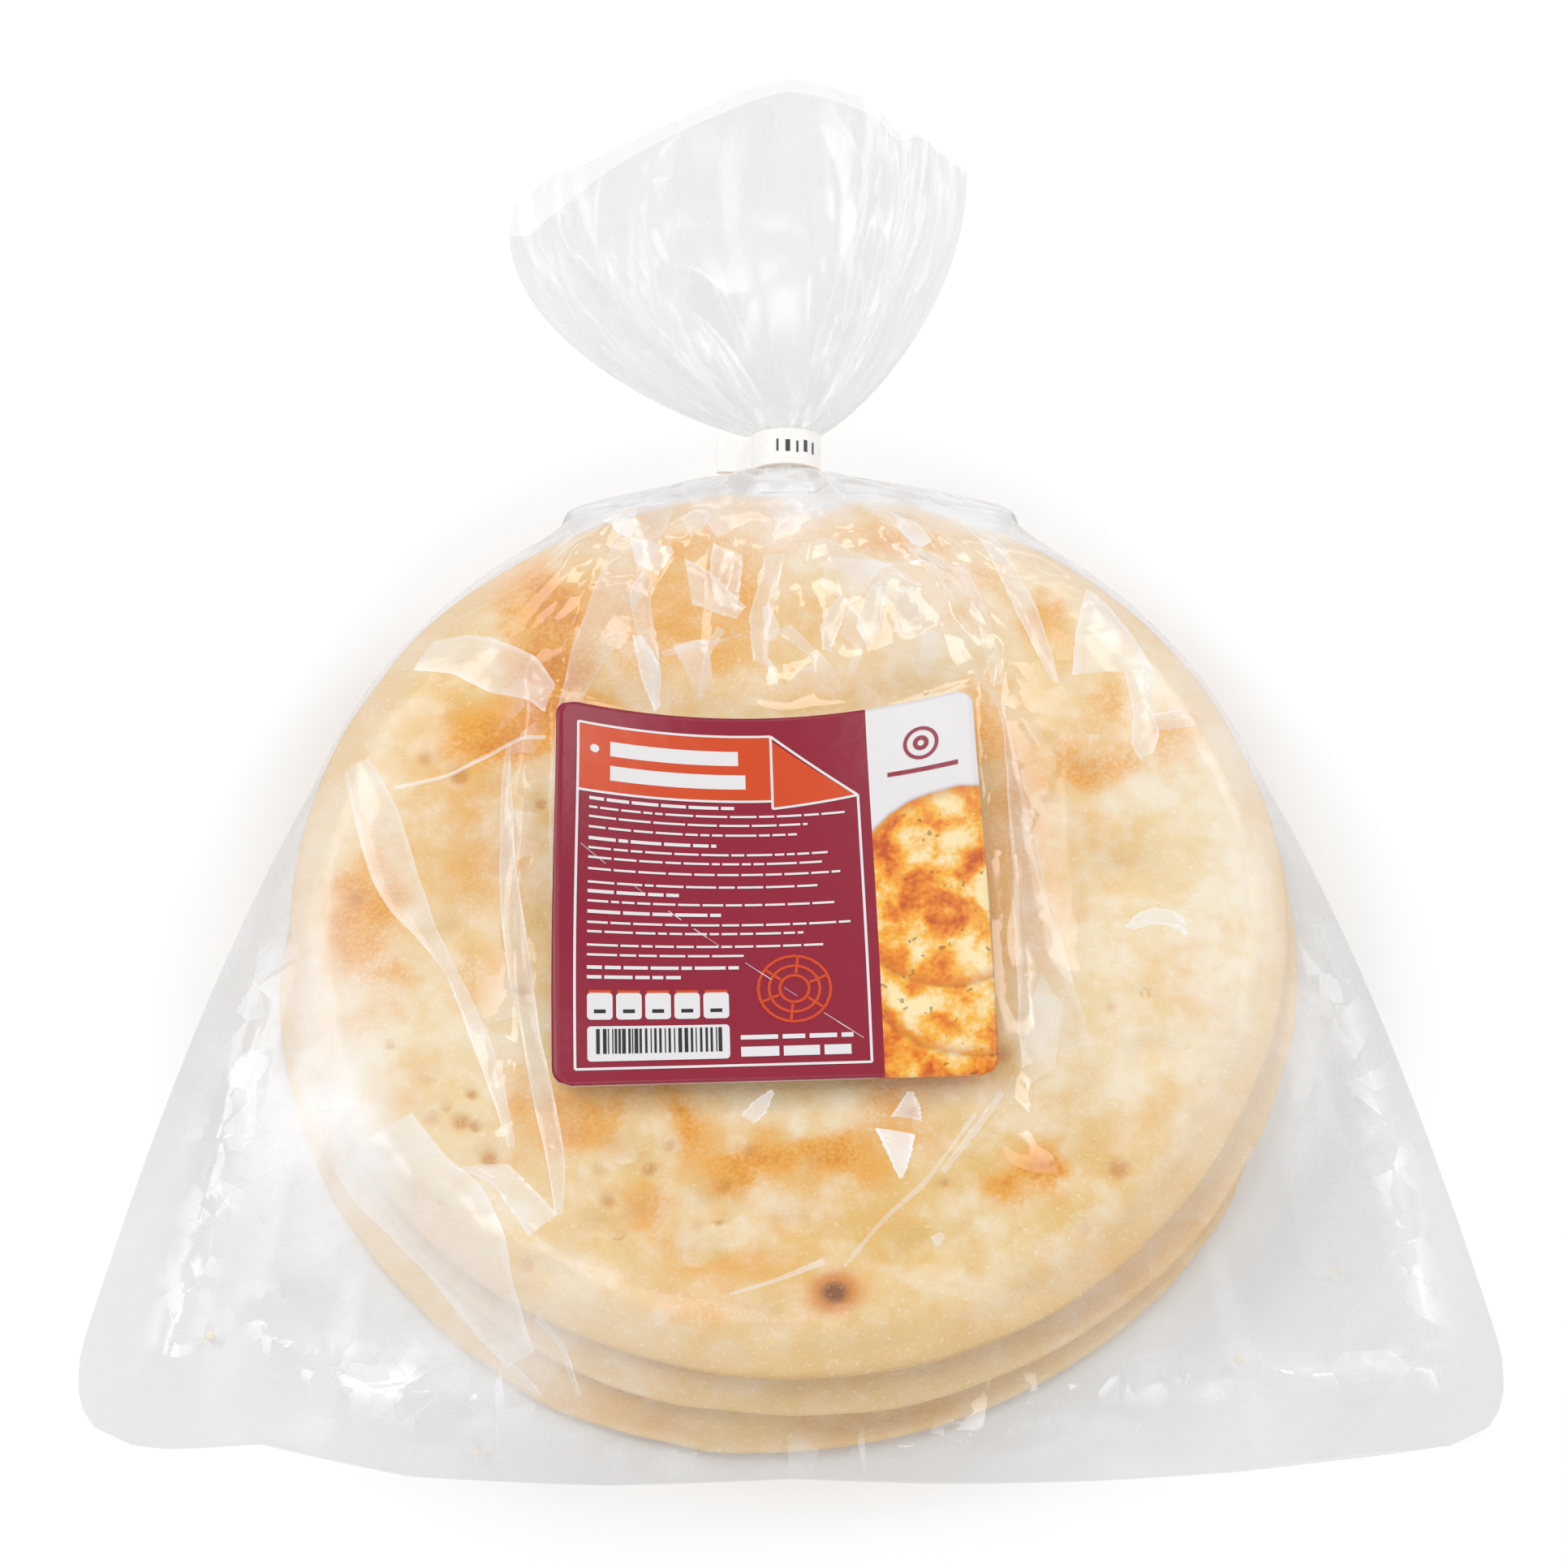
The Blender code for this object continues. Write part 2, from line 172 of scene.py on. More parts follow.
class Paint:
    # one material and the nodes that make it

    def __init__(self, name):
        self.material = bpy.data.materials.new(name)
        self.material.use_nodes = True
        self.tree = self.material.node_tree
        self.tree.nodes.clear()
        self.output = self.tree.nodes.new("ShaderNodeOutputMaterial")

    def node(self, kind, settings, inputs, output=0):
        made = self.tree.nodes.new(kind)
        for key, value in settings.items():
            if key == "stops":
                self.setStops(made.color_ramp, value)
            else:
                setattr(made, key, value)
        for key, value in inputs.items():
            if isinstance(value, Wire):
                self.tree.links.new(value.socket, made.inputs[key])
            else:
                made.inputs[key].default_value = value
        return Wire(self, made.outputs[output])

    def setStops(self, ramp, stops):
        while len(ramp.elements) < len(stops):
            ramp.elements.new(1.0)
        for element, (place, colour) in zip(ramp.elements, stops):
            element.position = place
            element.color = (*colour, 1.0)

    def finish(self, shader):
        self.tree.links.new(shader.socket, self.output.inputs["Surface"])
        return self.material

    def place(self, stretch=(1.0, 1.0, 1.0)):
        # object coordinates in millimetres
        coords = self.node("ShaderNodeTexCoord", {}, {}, "Object")
        scale = tuple(1000.0 * s for s in stretch)
        return self.node("ShaderNodeVectorMath", {"operation": "MULTIPLY"}, {0: coords, 1: scale})

    def noise(self, size, detail=3.0, roughness=0.55, distortion=0.0):
        # soft noise from 0 to 1 with lumps of about this many millimetres
        inputs = {"Vector": self.place(), "Scale": 1.0 / size, "Detail": detail,
                  "Roughness": roughness, "Distortion": distortion}
        return self.node("ShaderNodeTexNoise", {}, inputs, "Fac")

    def ramp(self, value, low, high):
        # 0 under low and 1 over high, with a smooth rise
        settings = {"interpolation_type": "SMOOTHSTEP"}
        return self.node("ShaderNodeMapRange", settings, {"Value": value, "From Min": low, "From Max": high})

    def blend(self, share, first, second):
        settings = {"data_type": "RGBA", "blend_type": "MIX"}
        first = first if isinstance(first, Wire) else (*first, 1.0)
        second = second if isinstance(second, Wire) else (*second, 1.0)
        return self.node("ShaderNodeMix", settings, {0: share, 6: first, 7: second}, 2)

    def attribute(self, name):
        return self.node("ShaderNodeAttribute", {"attribute_name": name}, {}, "Fac")

    def cells(self, size, point, output, feature="F1"):
        settings = {"voronoi_dimensions": "2D", "feature": feature}
        return self.node("ShaderNodeTexVoronoi", settings, {"Vector": point, "Scale": 1.0 / size}, output)

    def crumple(self, size, slope, point):
        # flat tilted facets with straight edges, as a height in millimetres
        away = self.node("ShaderNodeVectorMath", {"operation": "SUBTRACT"},
                         {0: point, 1: self.cells(size, point, "Position")})
        inputs = {0: self.cells(size, point, "Color"), 1: (0.5, 0.5, 0.5)}
        tilt = self.node("ShaderNodeVectorMath", {"operation": "SUBTRACT"}, inputs)
        dot = self.node("ShaderNodeVectorMath", {"operation": "DOT_PRODUCT"}, {0: away, 1: tilt}, "Value")
        return dot * (2.0 * slope)

    def bump(self, height, distance, strength=1.0):
        # height from 0 to 1, and how many metres a full step stands for
        inputs = {"Height": height, "Distance": distance, "Strength": strength}
        return self.node("ShaderNodeBump", {}, inputs)


# number helpers for the shapes


def smoothStep(value):
    share = np.clip(value, 0.0, 1.0)
    return share * share * (3.0 - 2.0 * share)


def softNoise(x, y, size, seed):
    # smooth random values from 0 to 1 on a plane, with lumps of this size
    count = 61
    lattice = np.random.default_rng(seed).random((count, count))
    gridX, gridY = np.asarray(x) / size + 17.3, np.asarray(y) / size + 23.9
    cellX, cellY = np.floor(gridX).astype(int), np.floor(gridY).astype(int)
    partX, partY = smoothStep(gridX - cellX), smoothStep(gridY - cellY)
    left, right, near, far = cellX % count, (cellX + 1) % count, cellY % count, (cellY + 1) % count
    low = lattice[left, near] * (1 - partX) + lattice[right, near] * partX
    high = lattice[left, far] * (1 - partX) + lattice[right, far] * partX
    return low * (1 - partY) + high * partY


def facetField(u, v, cell, seed):
    # flat facets with straight folds between them, from 0 to 1: scattered points with heights of their own
    random = np.random.default_rng(seed)
    spreadU = np.arange(u.min() - cell, u.max() + 2 * cell, cell)
    spreadV = np.arange(v.min() - cell, v.max() + 2 * cell, cell)
    places = np.stack(np.meshgrid(spreadU, spreadV), axis=-1).reshape(-1, 2)
    places = places + random.uniform(-0.48, 0.48, places.shape) * cell
    heights = random.random(len(places)) ** 1.4  # more low points than high ones
    made = geometry.delaunay_2d_cdt([Vector(place) for place in places], [], [], 0, 1e-9)
    corners, triangles, origins = made[0], made[2], made[3]
    flatU, flatV, field = u.ravel(), v.ravel(), np.zeros(u.size)
    order = np.argsort(flatV)
    sortedV = flatV[order]
    for triangle in triangles:
        (au, av), (bu, bv), (cu, cv) = (corners[corner] for corner in triangle)
        area = (bu - au) * (cv - av) - (cu - au) * (bv - av)
        start, stop = np.searchsorted(sortedV, (min(av, bv, cv), max(av, bv, cv)))
        if abs(area) < 1e-14 or stop <= start:
            continue
        near = order[start:stop]
        offU, offV = flatU[near] - au, flatV[near] - av
        shareB = (offU * (cv - av) - (cu - au) * offV) / area
        shareC = ((bu - au) * offV - offU * (bv - av)) / area
        inside = (shareB > -1e-6) & (shareC > -1e-6) & (shareB + shareC < 1 + 1e-6)
        first, second, third = (heights[origins[corner][0]] for corner in triangle)
        blend = first + (second - first) * shareB + (third - first) * shareC
        field[near[inside]] = blend[inside]
    return field.reshape(u.shape)


def stretches(x, y, points):
    # for each stretch between two points: its ends, how far along it a place is, and how far off it
    for start, end in zip(points[:-1], points[1:]):
        offX, offY, runX, runY = x - start[0], y - start[1], end[0] - start[0], end[1] - start[1]
        share = np.clip((offX * runX + offY * runY) / (runX**2 + runY**2), 0.0, 1.0)
        yield start, end, share, np.hypot(offX - share * runX, offY - share * runY)


def ridge(x, y, points, reach):
    # 1 on the line through the points, falling evenly to 0 this far from it
    best = np.zeros(np.shape(x))
    for _, _, _, away in stretches(x, y, points):
        best = np.maximum(best, np.clip(1.0 - away / reach, 0.0, 1.0))
    return best


def spot(x, y, middleX, middleY, across, along):
    # 1 at its middle, falling softly to 0 around it
    return np.exp(-(((x - middleX) / across) ** 2 + ((y - middleY) / along) ** 2))


def addMesh(name, points, faces, materials, faceMaterials=None, smooth=True, attributes=None):
    data = bpy.data.meshes.new(name)
    data.from_pydata([tuple(p) for p in np.asarray(points).reshape(-1, 3).tolist()], [], faces)
    for material in materials:
        data.materials.append(material)
    if faceMaterials is not None:
        data.polygons.foreach_set("material_index", faceMaterials)
    for key, values in (attributes or {}).items():
        # one value for each point, or one number for all of them
        layer = data.attributes.new(key, "FLOAT", "POINT")
        spread = np.broadcast_to(np.ravel(values), len(data.vertices))
        layer.data.foreach_set("value", spread.astype(np.float32))
    if smooth:
        data.shade_smooth()
    data.update()
    made = bpy.data.objects.new(name, data)
    bpy.context.scene.collection.objects.link(made)
    return made


def gridFaces(rows, columns, closed=False, start=0, flip=False):
    # quads between the points of a grid, one row after another
    width = columns - 1 + int(closed)
    faces = []
    for row in range(rows - 1):
        for column in range(width):
            after = (column + 1) % columns
            quad = (start + row * columns + column, start + row * columns + after,
                    start + (row + 1) * columns + after, start + (row + 1) * columns + column)
            faces.append(quad[::-1] if flip else quad)
    return faces


# sizes shared by the breads, the film and the label, as the solids have them

stack = {
    # lowest first: radius, centre x, centre y
    "breads": ((0.106, -0.002, -0.0068), (0.105, 0.002, -0.0038), (0.104, 0.0, 0.0)),
    "thickness": 0.0093,
}
stackTop = stack["thickness"] * len(stack["breads"])

label = {
    "width": 0.0900,
    "length": 0.0840,
    "foot": (-0.00265, -0.0430),
    "turn": math.radians(1.7),
    "corner": 0.0040,
    "thickness": 0.0006,
    "paper": 0.00025,  # how thick the sheet itself is
    "grid": (40, 16, 57),  # columns left and right of the white column's edge, and rows
    "gap": 0.0003,
    "lift": 0.0016,
    "rise": 0.0110,
}
labelBase = stackTop + label["lift"]


def labelRise(along):
    return label["rise"] * smoothStep(along) ** 0.8


def labelHalfChord(along):
    flat = label["width"] / 2
    return flat / (1.0 + 2.0 / 3.0 * (labelRise(along) / flat) ** 2)


def labelShares(x, y):
    turnCos, turnSin = math.cos(label["turn"]), math.sin(label["turn"])
    offX, offY = x - label["foot"][0], y - label["foot"][1]
    along = (offY * turnCos - offX * turnSin) / label["length"]
    across = (offX * turnCos + offY * turnSin) / labelHalfChord(np.clip(along, 0.0, 1.0))
    return across, along


def labelBed(across, along):
    return labelBase + labelRise(along) * np.clip(np.abs(across), 0.0, 1.15) ** 2


def labelPoint(u, v, lift):
    # a place on the label's upper face: u from its middle, v from its foot, lift over the face
    turnCos, turnSin = math.cos(label["turn"]), math.sin(label["turn"])
    across, along = np.asarray(u) / (label["width"] / 2), np.asarray(v) / label["length"]
    offX, offY = across * labelHalfChord(along), along * label["length"]
    x = label["foot"][0] + offX * turnCos - offY * turnSin
    y = label["foot"][1] + offX * turnSin + offY * turnCos
    z = labelBed(across, along) + label["gap"] + label["thickness"] + lift
    return np.stack(np.broadcast_arrays(x, y, z), axis=-1)


# breads

bread = {
    "wobble": (0.0028, 0.0026, 0.0016),  # how far each rim wanders in and out
    "shoulder": 0.0150,  # how far inside its edge a face starts to fall
    "edgeLevel": -0.0012,  # height of the edge over the middle of the thickness
    "edgePower": 2.3,
    "underReach": 0.0034,
    "swells": ((0.042, 0.0020), (0.019, 0.0013), (0.0075, 0.00045)),  # lumps of the face: size and depth
    "rings": (66, 66, 124),  # rings of each face, from the lowest bread up
    "ringsRim": 12,
    "ringsUnder": 16,
    "around": (300, 300, 420),
    "calmEdge": 0.006,  # the lumps fade this near the edge
    "rimBand": 0.011,  # how wide the rim's own colour is
    "dimpleDepth": 0.0015,
    "dimpleSize": 0.0021,
    "hollowDepth": 0.0025,
    "randomDimples": (110, 110, 12),
    "rimColour": (0.55, 0.55, 1.0),  # how much of the rim's colour each bread shows
    "brownLower": 0.28,
    "warmLower": 0.4,
    "thinning": 0.0011,  # how much thinner than the stack allows a bread may be
    # pricked holes on the top bread that show between the film's folds
    "dimples": (
        (-81, -33), (-73, -41), (-64, -44), (-72, -49), (-74, -66), (-70, -67), (-31, -56), (-18, -72),
        (84, -40), (83, -48), (59, -73), (47, -86), (-28, -60), (-24, -55), (-13, -64), (31, -63),
        (66, -60), (73, -20), (-38, -60), (-36, -67), (-34, -74), (-14, -71), (-19, -79), (-69, -47),
        (-66, -50), (-52, -80), (-60, -58),
    ),
    # wide shallow hollows of the top bread: x, y, radius, depth, in millimetres
    "hollows": (
        (-33.5, -56.2, 4.4, 1.3), (-29.2, -70.7, 3.8, 1.0), (-15.0, -68.0, 4.2, 1.3),
        (-18.4, -77.5, 4.6, 1.2), (-36.7, -72.9, 3.6, 0.9), (-43.6, -54.6, 3.4, 0.8),
        (6.8, -60.1, 3.6, 0.9), (0.5, -72.9, 4.6, 0.9), (-46.7, -82.0, 4.0, 0.8),
        (25.4, -78.0, 4.8, 0.9), (33.4, -53.5, 4.2, 0.9), (-4.4, -94.0, 4.4, 0.8), (62, 30, 5, 1.0),
        (70, 8, 6, 1.1), (58, 52, 5, 0.9), (-70, -8, 5, 0.9), (74, -34, 5, 1.0),
    ),
    # browned patches on the top bread: x, y, radius across, radius along, strength
    "patches": (
        (-49, 72, 12, 13, 1.1), (-47, 57, 11, 13, 1.15), (-50, 44, 12, 10, 1.15),
        (-60, 38, 13, 8, 1.15), (-88, -2, 7, 19, 0.95), (-84, -20, 8, 8, 0.6), (-66, 24, 12, 10, 0.5),
        (-64, 6, 14, 16, 0.55), (-60, -18, 11, 9, 0.5), (-53, -46, 8, 6, 0.75), (-53, -55, 6, 6, 0.5),
        (-78, -44, 7, 8, 0.45), (-38, -50, 14, 8, 0.9), (-24, -53, 15, 9, 0.9), (-6, -58, 15, 7, 0.95),
        (8, -57, 12, 7, 0.9), (18, -50, 12, 8, 0.6), (-20, -68, 12, 9, 0.7), (-10, -80, 16, 8, 0.55),
        (-16, -90, 14, 6, 0.6), (9, -86, 9, 8, 0.55), (49, -61, 6.6, 6.2, 1.1), (31, -91, 16, 8, 0.28),
        (57, 67, 7, 8, 0.7), (68, 47, 9, 8, 0.6), (80, 38, 9, 9, 0.6), (62, 34, 13, 8, 0.75),
        (47, 26, 9, 17, 0.7), (42, 42, 8, 12, 0.8), (52, -8, 8, 12, 0.5), (49, 8, 7, 14, 0.4),
        (-4, 97, 26, 8, 0.5), (23, 88, 12, 8, 0.75), (38, 76, 14, 10, 0.5), (-12, 76, 12, 14, 0.8),
        (-22, 88, 14, 9, 0.7), (-20, 60, 12, 12, 0.7), (8, 68, 14, 12, 0.45), (4, 90, 12, 8, 0.5),
        (-72, 50, 10, 9, 0.35), (76, -16, 9, 11, 0.3), (70, -54, 9, 8, 0.35), (85, -25, 6, 10, 0.3),
        (64, 14, 12, 9, 0.35), (66, -80, 12, 6, 0.35), (-66, -72, 10, 7, 0.4),
        (-12, -64, 40, 22, 0.36), (-24, 68, 30, 24, 0.62), (18, 70, 22, 20, 0.30),
        (-72, 18, 17, 36, 0.40), (44, 8, 12, 44, 0.52), (4, 50, 40, 10, 0.40),
    ),
    # paler blisters between them
    "islands": (
        (-33.4, -57.1, 10, 9, 0.9), (-14.5, -68, 8, 7, 0.9), (-65.4, -48.7, 10, 9, 0.7),
        (3, -49.5, 9, 4, 0.7), (25, -94.8, 7, 5, 0.7), (62, -26, 14, 16, 0.6), (-52, -82, 12, 7, 0.6),
        (40, -80, 9, 5, 0.5),
    ),
    # broad warmer tones: x, y, radius across, radius along, strength
    "warmth": (
        (-4, -72, 62, 34, 1.0), (52, -78, 34, 26, 0.7), (-26, 72, 34, 30, 0.85), (24, 84, 26, 20, 0.5),
        (-58, 8, 24, 50, 0.8), (-70, 42, 26, 26, 0.55), (44, 10, 18, 56, 0.8), (64, -50, 30, 24, 0.4),
    ),
    "scorch": (9.0, -87.0, 3.6),  # burnt spot: x, y, radius
    "seed": 71,
}

breadColours = {
    "pale": linear(241, 228, 203),
    "cream": linear(236, 212, 166),
    "warm": linear(226, 187, 116),
    "straw": linear(234, 200, 140),
    "rim": linear(214, 172, 104),
    "golden": linear(231, 162, 60),
    "brown": linear(208, 124, 38),
    "scorch": linear(112, 70, 46),
    "pit": linear(198, 136, 64),
    "flour": linear(255, 249, 236),
}


def patchField(x, y):
    # how browned the top bread is, with x and y in millimetres
    total = np.zeros(np.shape(x))
    wanderX = x + 9.0 * (softNoise(x, y, 11.0, 5) - 0.5) + 4.0 * (softNoise(x, y, 4.0, 6) - 0.5)
    wanderY = y + 9.0 * (softNoise(x, y, 11.0, 7) - 0.5) + 4.0 * (softNoise(x, y, 4.0, 8) - 0.5)
    for px, py, across, along, strength in bread["patches"]:
        away = ((wanderX - px) / across) ** 2 + ((wanderY - py) / along) ** 2
        total = np.maximum(total, strength * np.exp(-0.85 * away))
    for px, py, across, along, strength in bread["islands"]:
        away = ((wanderX - px) / across) ** 2 + ((wanderY - py) / along) ** 2
        total = total * (1.0 - strength * np.exp(-(away**2)))
    return total


def shoulderShare(inside):
    # how much of its fall a face has made at this distance inside its edge
    return np.clip(1.0 - inside / bread["shoulder"], 0.0, 1.0) ** bread["edgePower"]


def breadFace(level, x, y):
    # lumps and hollows of a bread's face, with its pricked holes; never above the highest point
    seed = bread["seed"] + 20 * level
    height = np.zeros(np.shape(x))
    for number, (size, depth) in enumerate(bread["swells"]):
        height -= depth * softNoise(x, y, size, seed + number)
    pits = np.zeros(np.shape(x))
    places = [(px / 1000, py / 1000) for px, py in bread["dimples"]] if level == 2 else []
    random = np.random.default_rng(seed + 3)
    for _ in range(bread["randomDimples"][level]):
        turn, away = random.uniform(0, 2 * math.pi), random.uniform(0.30, 0.93) ** 0.6
        places.append((0.1 * away * math.cos(turn), 0.1 * away * math.sin(turn)))
    for px, py in places:
        size, deep = bread["dimpleSize"] * random.uniform(0.6, 1.3), random.uniform(0.5, 1.0)
        pits = np.maximum(pits, np.exp(-(((x - px) ** 2 + (y - py) ** 2) / size**2)) * deep)
    for px, py, size, deep in bread["hollows"] if level == 2 else ():
        away = np.hypot(1000 * x - px, 1.25 * (1000 * y - py)) / size
        uneven = 1.0 + 0.4 * (softNoise(x, y, 0.004, seed + 8) - 0.5)
        height -= bread["hollowDepth"] * deep * np.exp(-(away**2)) * uneven
    return height - bread["dimpleDepth"] * pits, pits


def breadMaterial():
    paint = Paint("bakedBread")
    brown, pit = paint.attribute("brown"), paint.attribute("pit")
    scorch, rim = paint.attribute("scorch"), paint.attribute("rim")
    coarse, middle, fine = paint.noise(16.0), paint.noise(4.0, 3.0), paint.noise(0.9, 3.0, 0.65)
    creamy = paint.ramp(coarse + 0.3 * middle, 0.48, 0.86)
    base = paint.blend(creamy, breadColours["pale"], breadColours["cream"])
    base = paint.blend(paint.ramp(paint.noise(11.0, 2.0), 0.52, 0.74) * 0.75, base, breadColours["straw"])
    warm = paint.attribute("warm") * (0.2 + 0.8 * paint.ramp(paint.noise(13.0, 3.0), 0.36, 0.64))
    base = paint.blend(warm, base, breadColours["warm"])
    base = paint.blend(rim * 0.75, base, breadColours["rim"])
    grain = fine - 0.5
    toast = brown + grain * 1.1 * paint.ramp(brown, 0.05, 0.6) + 0.40 * (middle - 0.5)
    colour = paint.blend(paint.ramp(toast, 0.02, 0.98) * 0.98, base, breadColours["golden"])
    colour = paint.blend(paint.ramp(toast, 0.72, 1.35) * 0.9, colour, breadColours["brown"])
    colour = paint.blend(paint.ramp(pit, 0.15, 0.9) * 0.75, colour, breadColours["pit"])
    colour = paint.blend(paint.ramp(scorch, 0.0, 0.5) * 0.75, colour, breadColours["brown"])
    char = paint.ramp(scorch + grain * 0.3, 0.45, 0.95)
    colour = paint.blend(char * 0.85, colour, breadColours["scorch"])
    flour = paint.ramp(fine, 0.55, 0.75) * (1 - paint.ramp(brown, 0.3, 0.9)) * 0.35
    colour = paint.blend(flour, colour, breadColours["flour"])
    relief = fine * 0.6 + middle * 0.9
    inputs = {"Base Color": colour, "Roughness": 0.80 - 0.10 * brown, "Specular IOR Level": 0.25,
              "Normal": paint.bump(relief, 0.0004, 0.8)}
    return paint.finish(paint.node("ShaderNodeBsdfPrincipled", {}, inputs))


def addBread(level, material):
    # a disc with a rounded rim, as rings from the middle of the face to the middle of the underside
    radius, centreX, centreY = stack["breads"][level]
    around = bread["around"][level]
    half, low, under = stack["thickness"] / 2, bread["edgeLevel"], bread["underReach"]
    turn = np.linspace(0.0, 2 * math.pi, around, endpoint=False)
    bulge = softNoise(np.cos(turn) * 3, np.sin(turn) * 3, 0.9, 40 + level)
    bulge = 0.75 * bulge + 0.25 * softNoise(np.cos(turn) * 9, np.sin(turn) * 9, 0.9, 45 + level)
    edge = radius - bread["wobble"][level] * (1 - bulge)
    thick = half - bread["thinning"] * softNoise(np.cos(turn) * 3, np.sin(turn) * 3, 1.1, 50 + level)
    rings = []
    for share in np.linspace(0.0, 1.0, bread["rings"][level])[1:] ** 0.72:
        reach = edge * share
        face, _ = breadFace(level, reach * np.cos(turn), reach * np.sin(turn))
        face = face * smoothStep((edge - reach) / bread["calmEdge"] + 0.15)
        rings.append((reach, thick + (low - thick) * shoulderShare(edge - reach) + face,
                      smoothStep(1.0 - (edge - reach) / bread["rimBand"])))
    for tip in np.linspace(0.0, math.pi / 2, bread["ringsRim"])[1:]:
        reach, height = edge - under * (1 - math.cos(tip)), low - (half + low) * math.sin(tip)
        rings.append((reach, height, np.ones(around)))
    for share in np.linspace(1.0, 0.0, bread["ringsUnder"])[1:-1]:
        rings.append(((edge - under) * share, -half, np.ones(around)))
    points, rim = [], []
    for reach, height, rimShare in rings:
        x, y = reach * np.cos(turn), reach * np.sin(turn)
        z = (level + 0.5) * stack["thickness"] + height
        points.append(np.stack(np.broadcast_arrays(centreX + x, centreY + y, z), axis=-1))
        rim.append(rimShare)
    points, rim = np.concatenate(points), np.concatenate(rim)
    faces = gridFaces(len(rings), around, closed=True)
    middleTop, middleUnder = len(points), len(points) + 1
    topZ, underZ = points[:around, 2].mean(), points[-around:, 2].mean()
    points = np.vstack([points, [[centreX, centreY, topZ]], [[centreX, centreY, underZ]]])
    last = (len(rings) - 1) * around
    for here in range(around):
        after = (here + 1) % around
        faces.append((middleTop, after, here))
        faces.append((middleUnder, last + here, last + after))
    faces = [face[::-1] for face in faces]
    x, y = points[:, 0] - centreX, points[:, 1] - centreY
    _, pits = breadFace(level, x, y)
    rim = np.append(rim, [0.0, 1.0]) * bread["rimColour"][level]
    sx, sy, size = bread["scorch"]
    away = np.hypot(x * 1000 - sx, (y * 1000 - sy) * 1.15) / size
    scorch = np.exp(-0.7 * away**2) * (level == 2)
    onTop = points[:, 2] > (level + 0.5) * stack["thickness"]
    if level == 2:
        brown = patchField(x * 1000, y * 1000)
        warm = sum(strength * spot(x * 1000, y * 1000, *place) for *place, strength in bread["warmth"])
    else:
        brown = bread["brownLower"] * smoothStep(2.2 * softNoise(x, y, 0.019, 60 + level) - 0.8)
        warm = bread["warmLower"]
    attributes = {"brown": brown, "pit": pits * onTop, "rim": rim, "scorch": scorch * onTop,
                  "warm": np.clip(warm, 0.0, 1.0)}
    made = addMesh(f"bread{level + 1}", points, faces, [material], attributes=attributes)
    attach(made, "root")
    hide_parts("bag")


# film: the lying bag as a grid from its seam to its neck, and the fan of loose film behind the clip

bag = {
    "seamY": -0.1180,
    "seamBow": 0.0075,  # how far its ends lie behind its middle
    "seamHalfWidth": 0.1315,
    # the seam wanders inward: place across and how far, in millimetres
    "seamWave": (
        (-131, 1.2), (-125, 1.2), (-106, 4.4), (-96, 2.8), (-76, 0.0), (-37, 0.0), (0, 2.0), (32, 0.5),
        (59, 0.0), (88, 0.0), (108, 0.7), (130, 1.1),
    ),
    "seamWaveReach": 0.020,  # the wandering dies out this far behind the seam
    "cornerLength": 0.0150,
    "skirtY": -0.0970,
    "skirtHalfWidth": 0.1432,
    "taperLength": 0.2040,
    "taperPower": 0.329,
    "middleX": 0.0004,
    "shoulderY": 0.0990,
    "foldHeightFront": 0.0009,
    "foldHeightBack": 0.0115,
    "foldRiseEnd": 0.0300,
    "sag": 6.0,  # how hard the film's own weight pulls it down
    "lift": 0.0009,  # from the breads to the film
    "across": 288,
    "rows": 240,
    "coarse": 8,  # the drape is first worked out on a grid this many times coarser
    "steps": (1500, 600, 260, 110),  # rounds of pulling on each grid
    "labelMargin": 0.0022,
    "foldSlope": 1.5,
    # long folds that stand up: x, y, height over the breads
    "leftFold": ((-0.006, 0.104, 0.001), (-0.036, 0.085, 0.008), (-0.047, 0.050, 0.012), (-0.049, 0.0, 0.007),
                 (-0.050, -0.050, 0.001)),
    "rightFold": ((0.005, 0.104, 0.001), (0.022, 0.082, 0.008), (0.039, 0.050, 0.012), (0.044, 0.0, 0.007),
                  (0.054, -0.050, 0.001)),
    "underLiftWidth": 0.0160,
    "underLiftY": 0.0840,
    "underLiftLength": 0.0260,
    "underNeckHeight": 0.0160,
    "underRows": 56,
    "underAcross": 96,
    "underVeil": (0.03, 0.30, 0.08),  # haze of the lower sheet: plain, more at the back, more at the sides
    "underVeilBack": (0.066, 0.03),
}

neck = {
    "place": (-0.0006, 0.1115, 0.0235),
    "tilt": math.radians(14.0),
    "radiusX": 0.0062,
    "radiusZ": 0.0052,
    "halfLength": 0.0046,
    "drop": 0.008,  # how far before the clip the shoulder ends
    "pleats": ((13, 0.60, 0.4), (7, 0.40, 2.1), (5, 0.25, 4.0)),
    "curve": (1.5, 0.8, 1.0),  # how the film runs from the shoulder to the clip along x, y and z
    "rows": 25,
    "underRows": 9,
    "pleatHeight": 0.0022,
    "veil": 0.52,
    "pleatVeil": 0.20,
    "underVeil": 0.42,
    "dim": 0.5,
    "bright": 0.14,
    "crisp": 0.05,
    "matte": 0.3,
    "shard": 0.0,
    "gather": (0.80, 0.56, 0.32),  # sizes of the pleated sleeves inside the clip
    "gatherRows": 15,
    "gatherAround": 180,
    "gatherReach": 2.2,  # their length, in half lengths of the clip
}

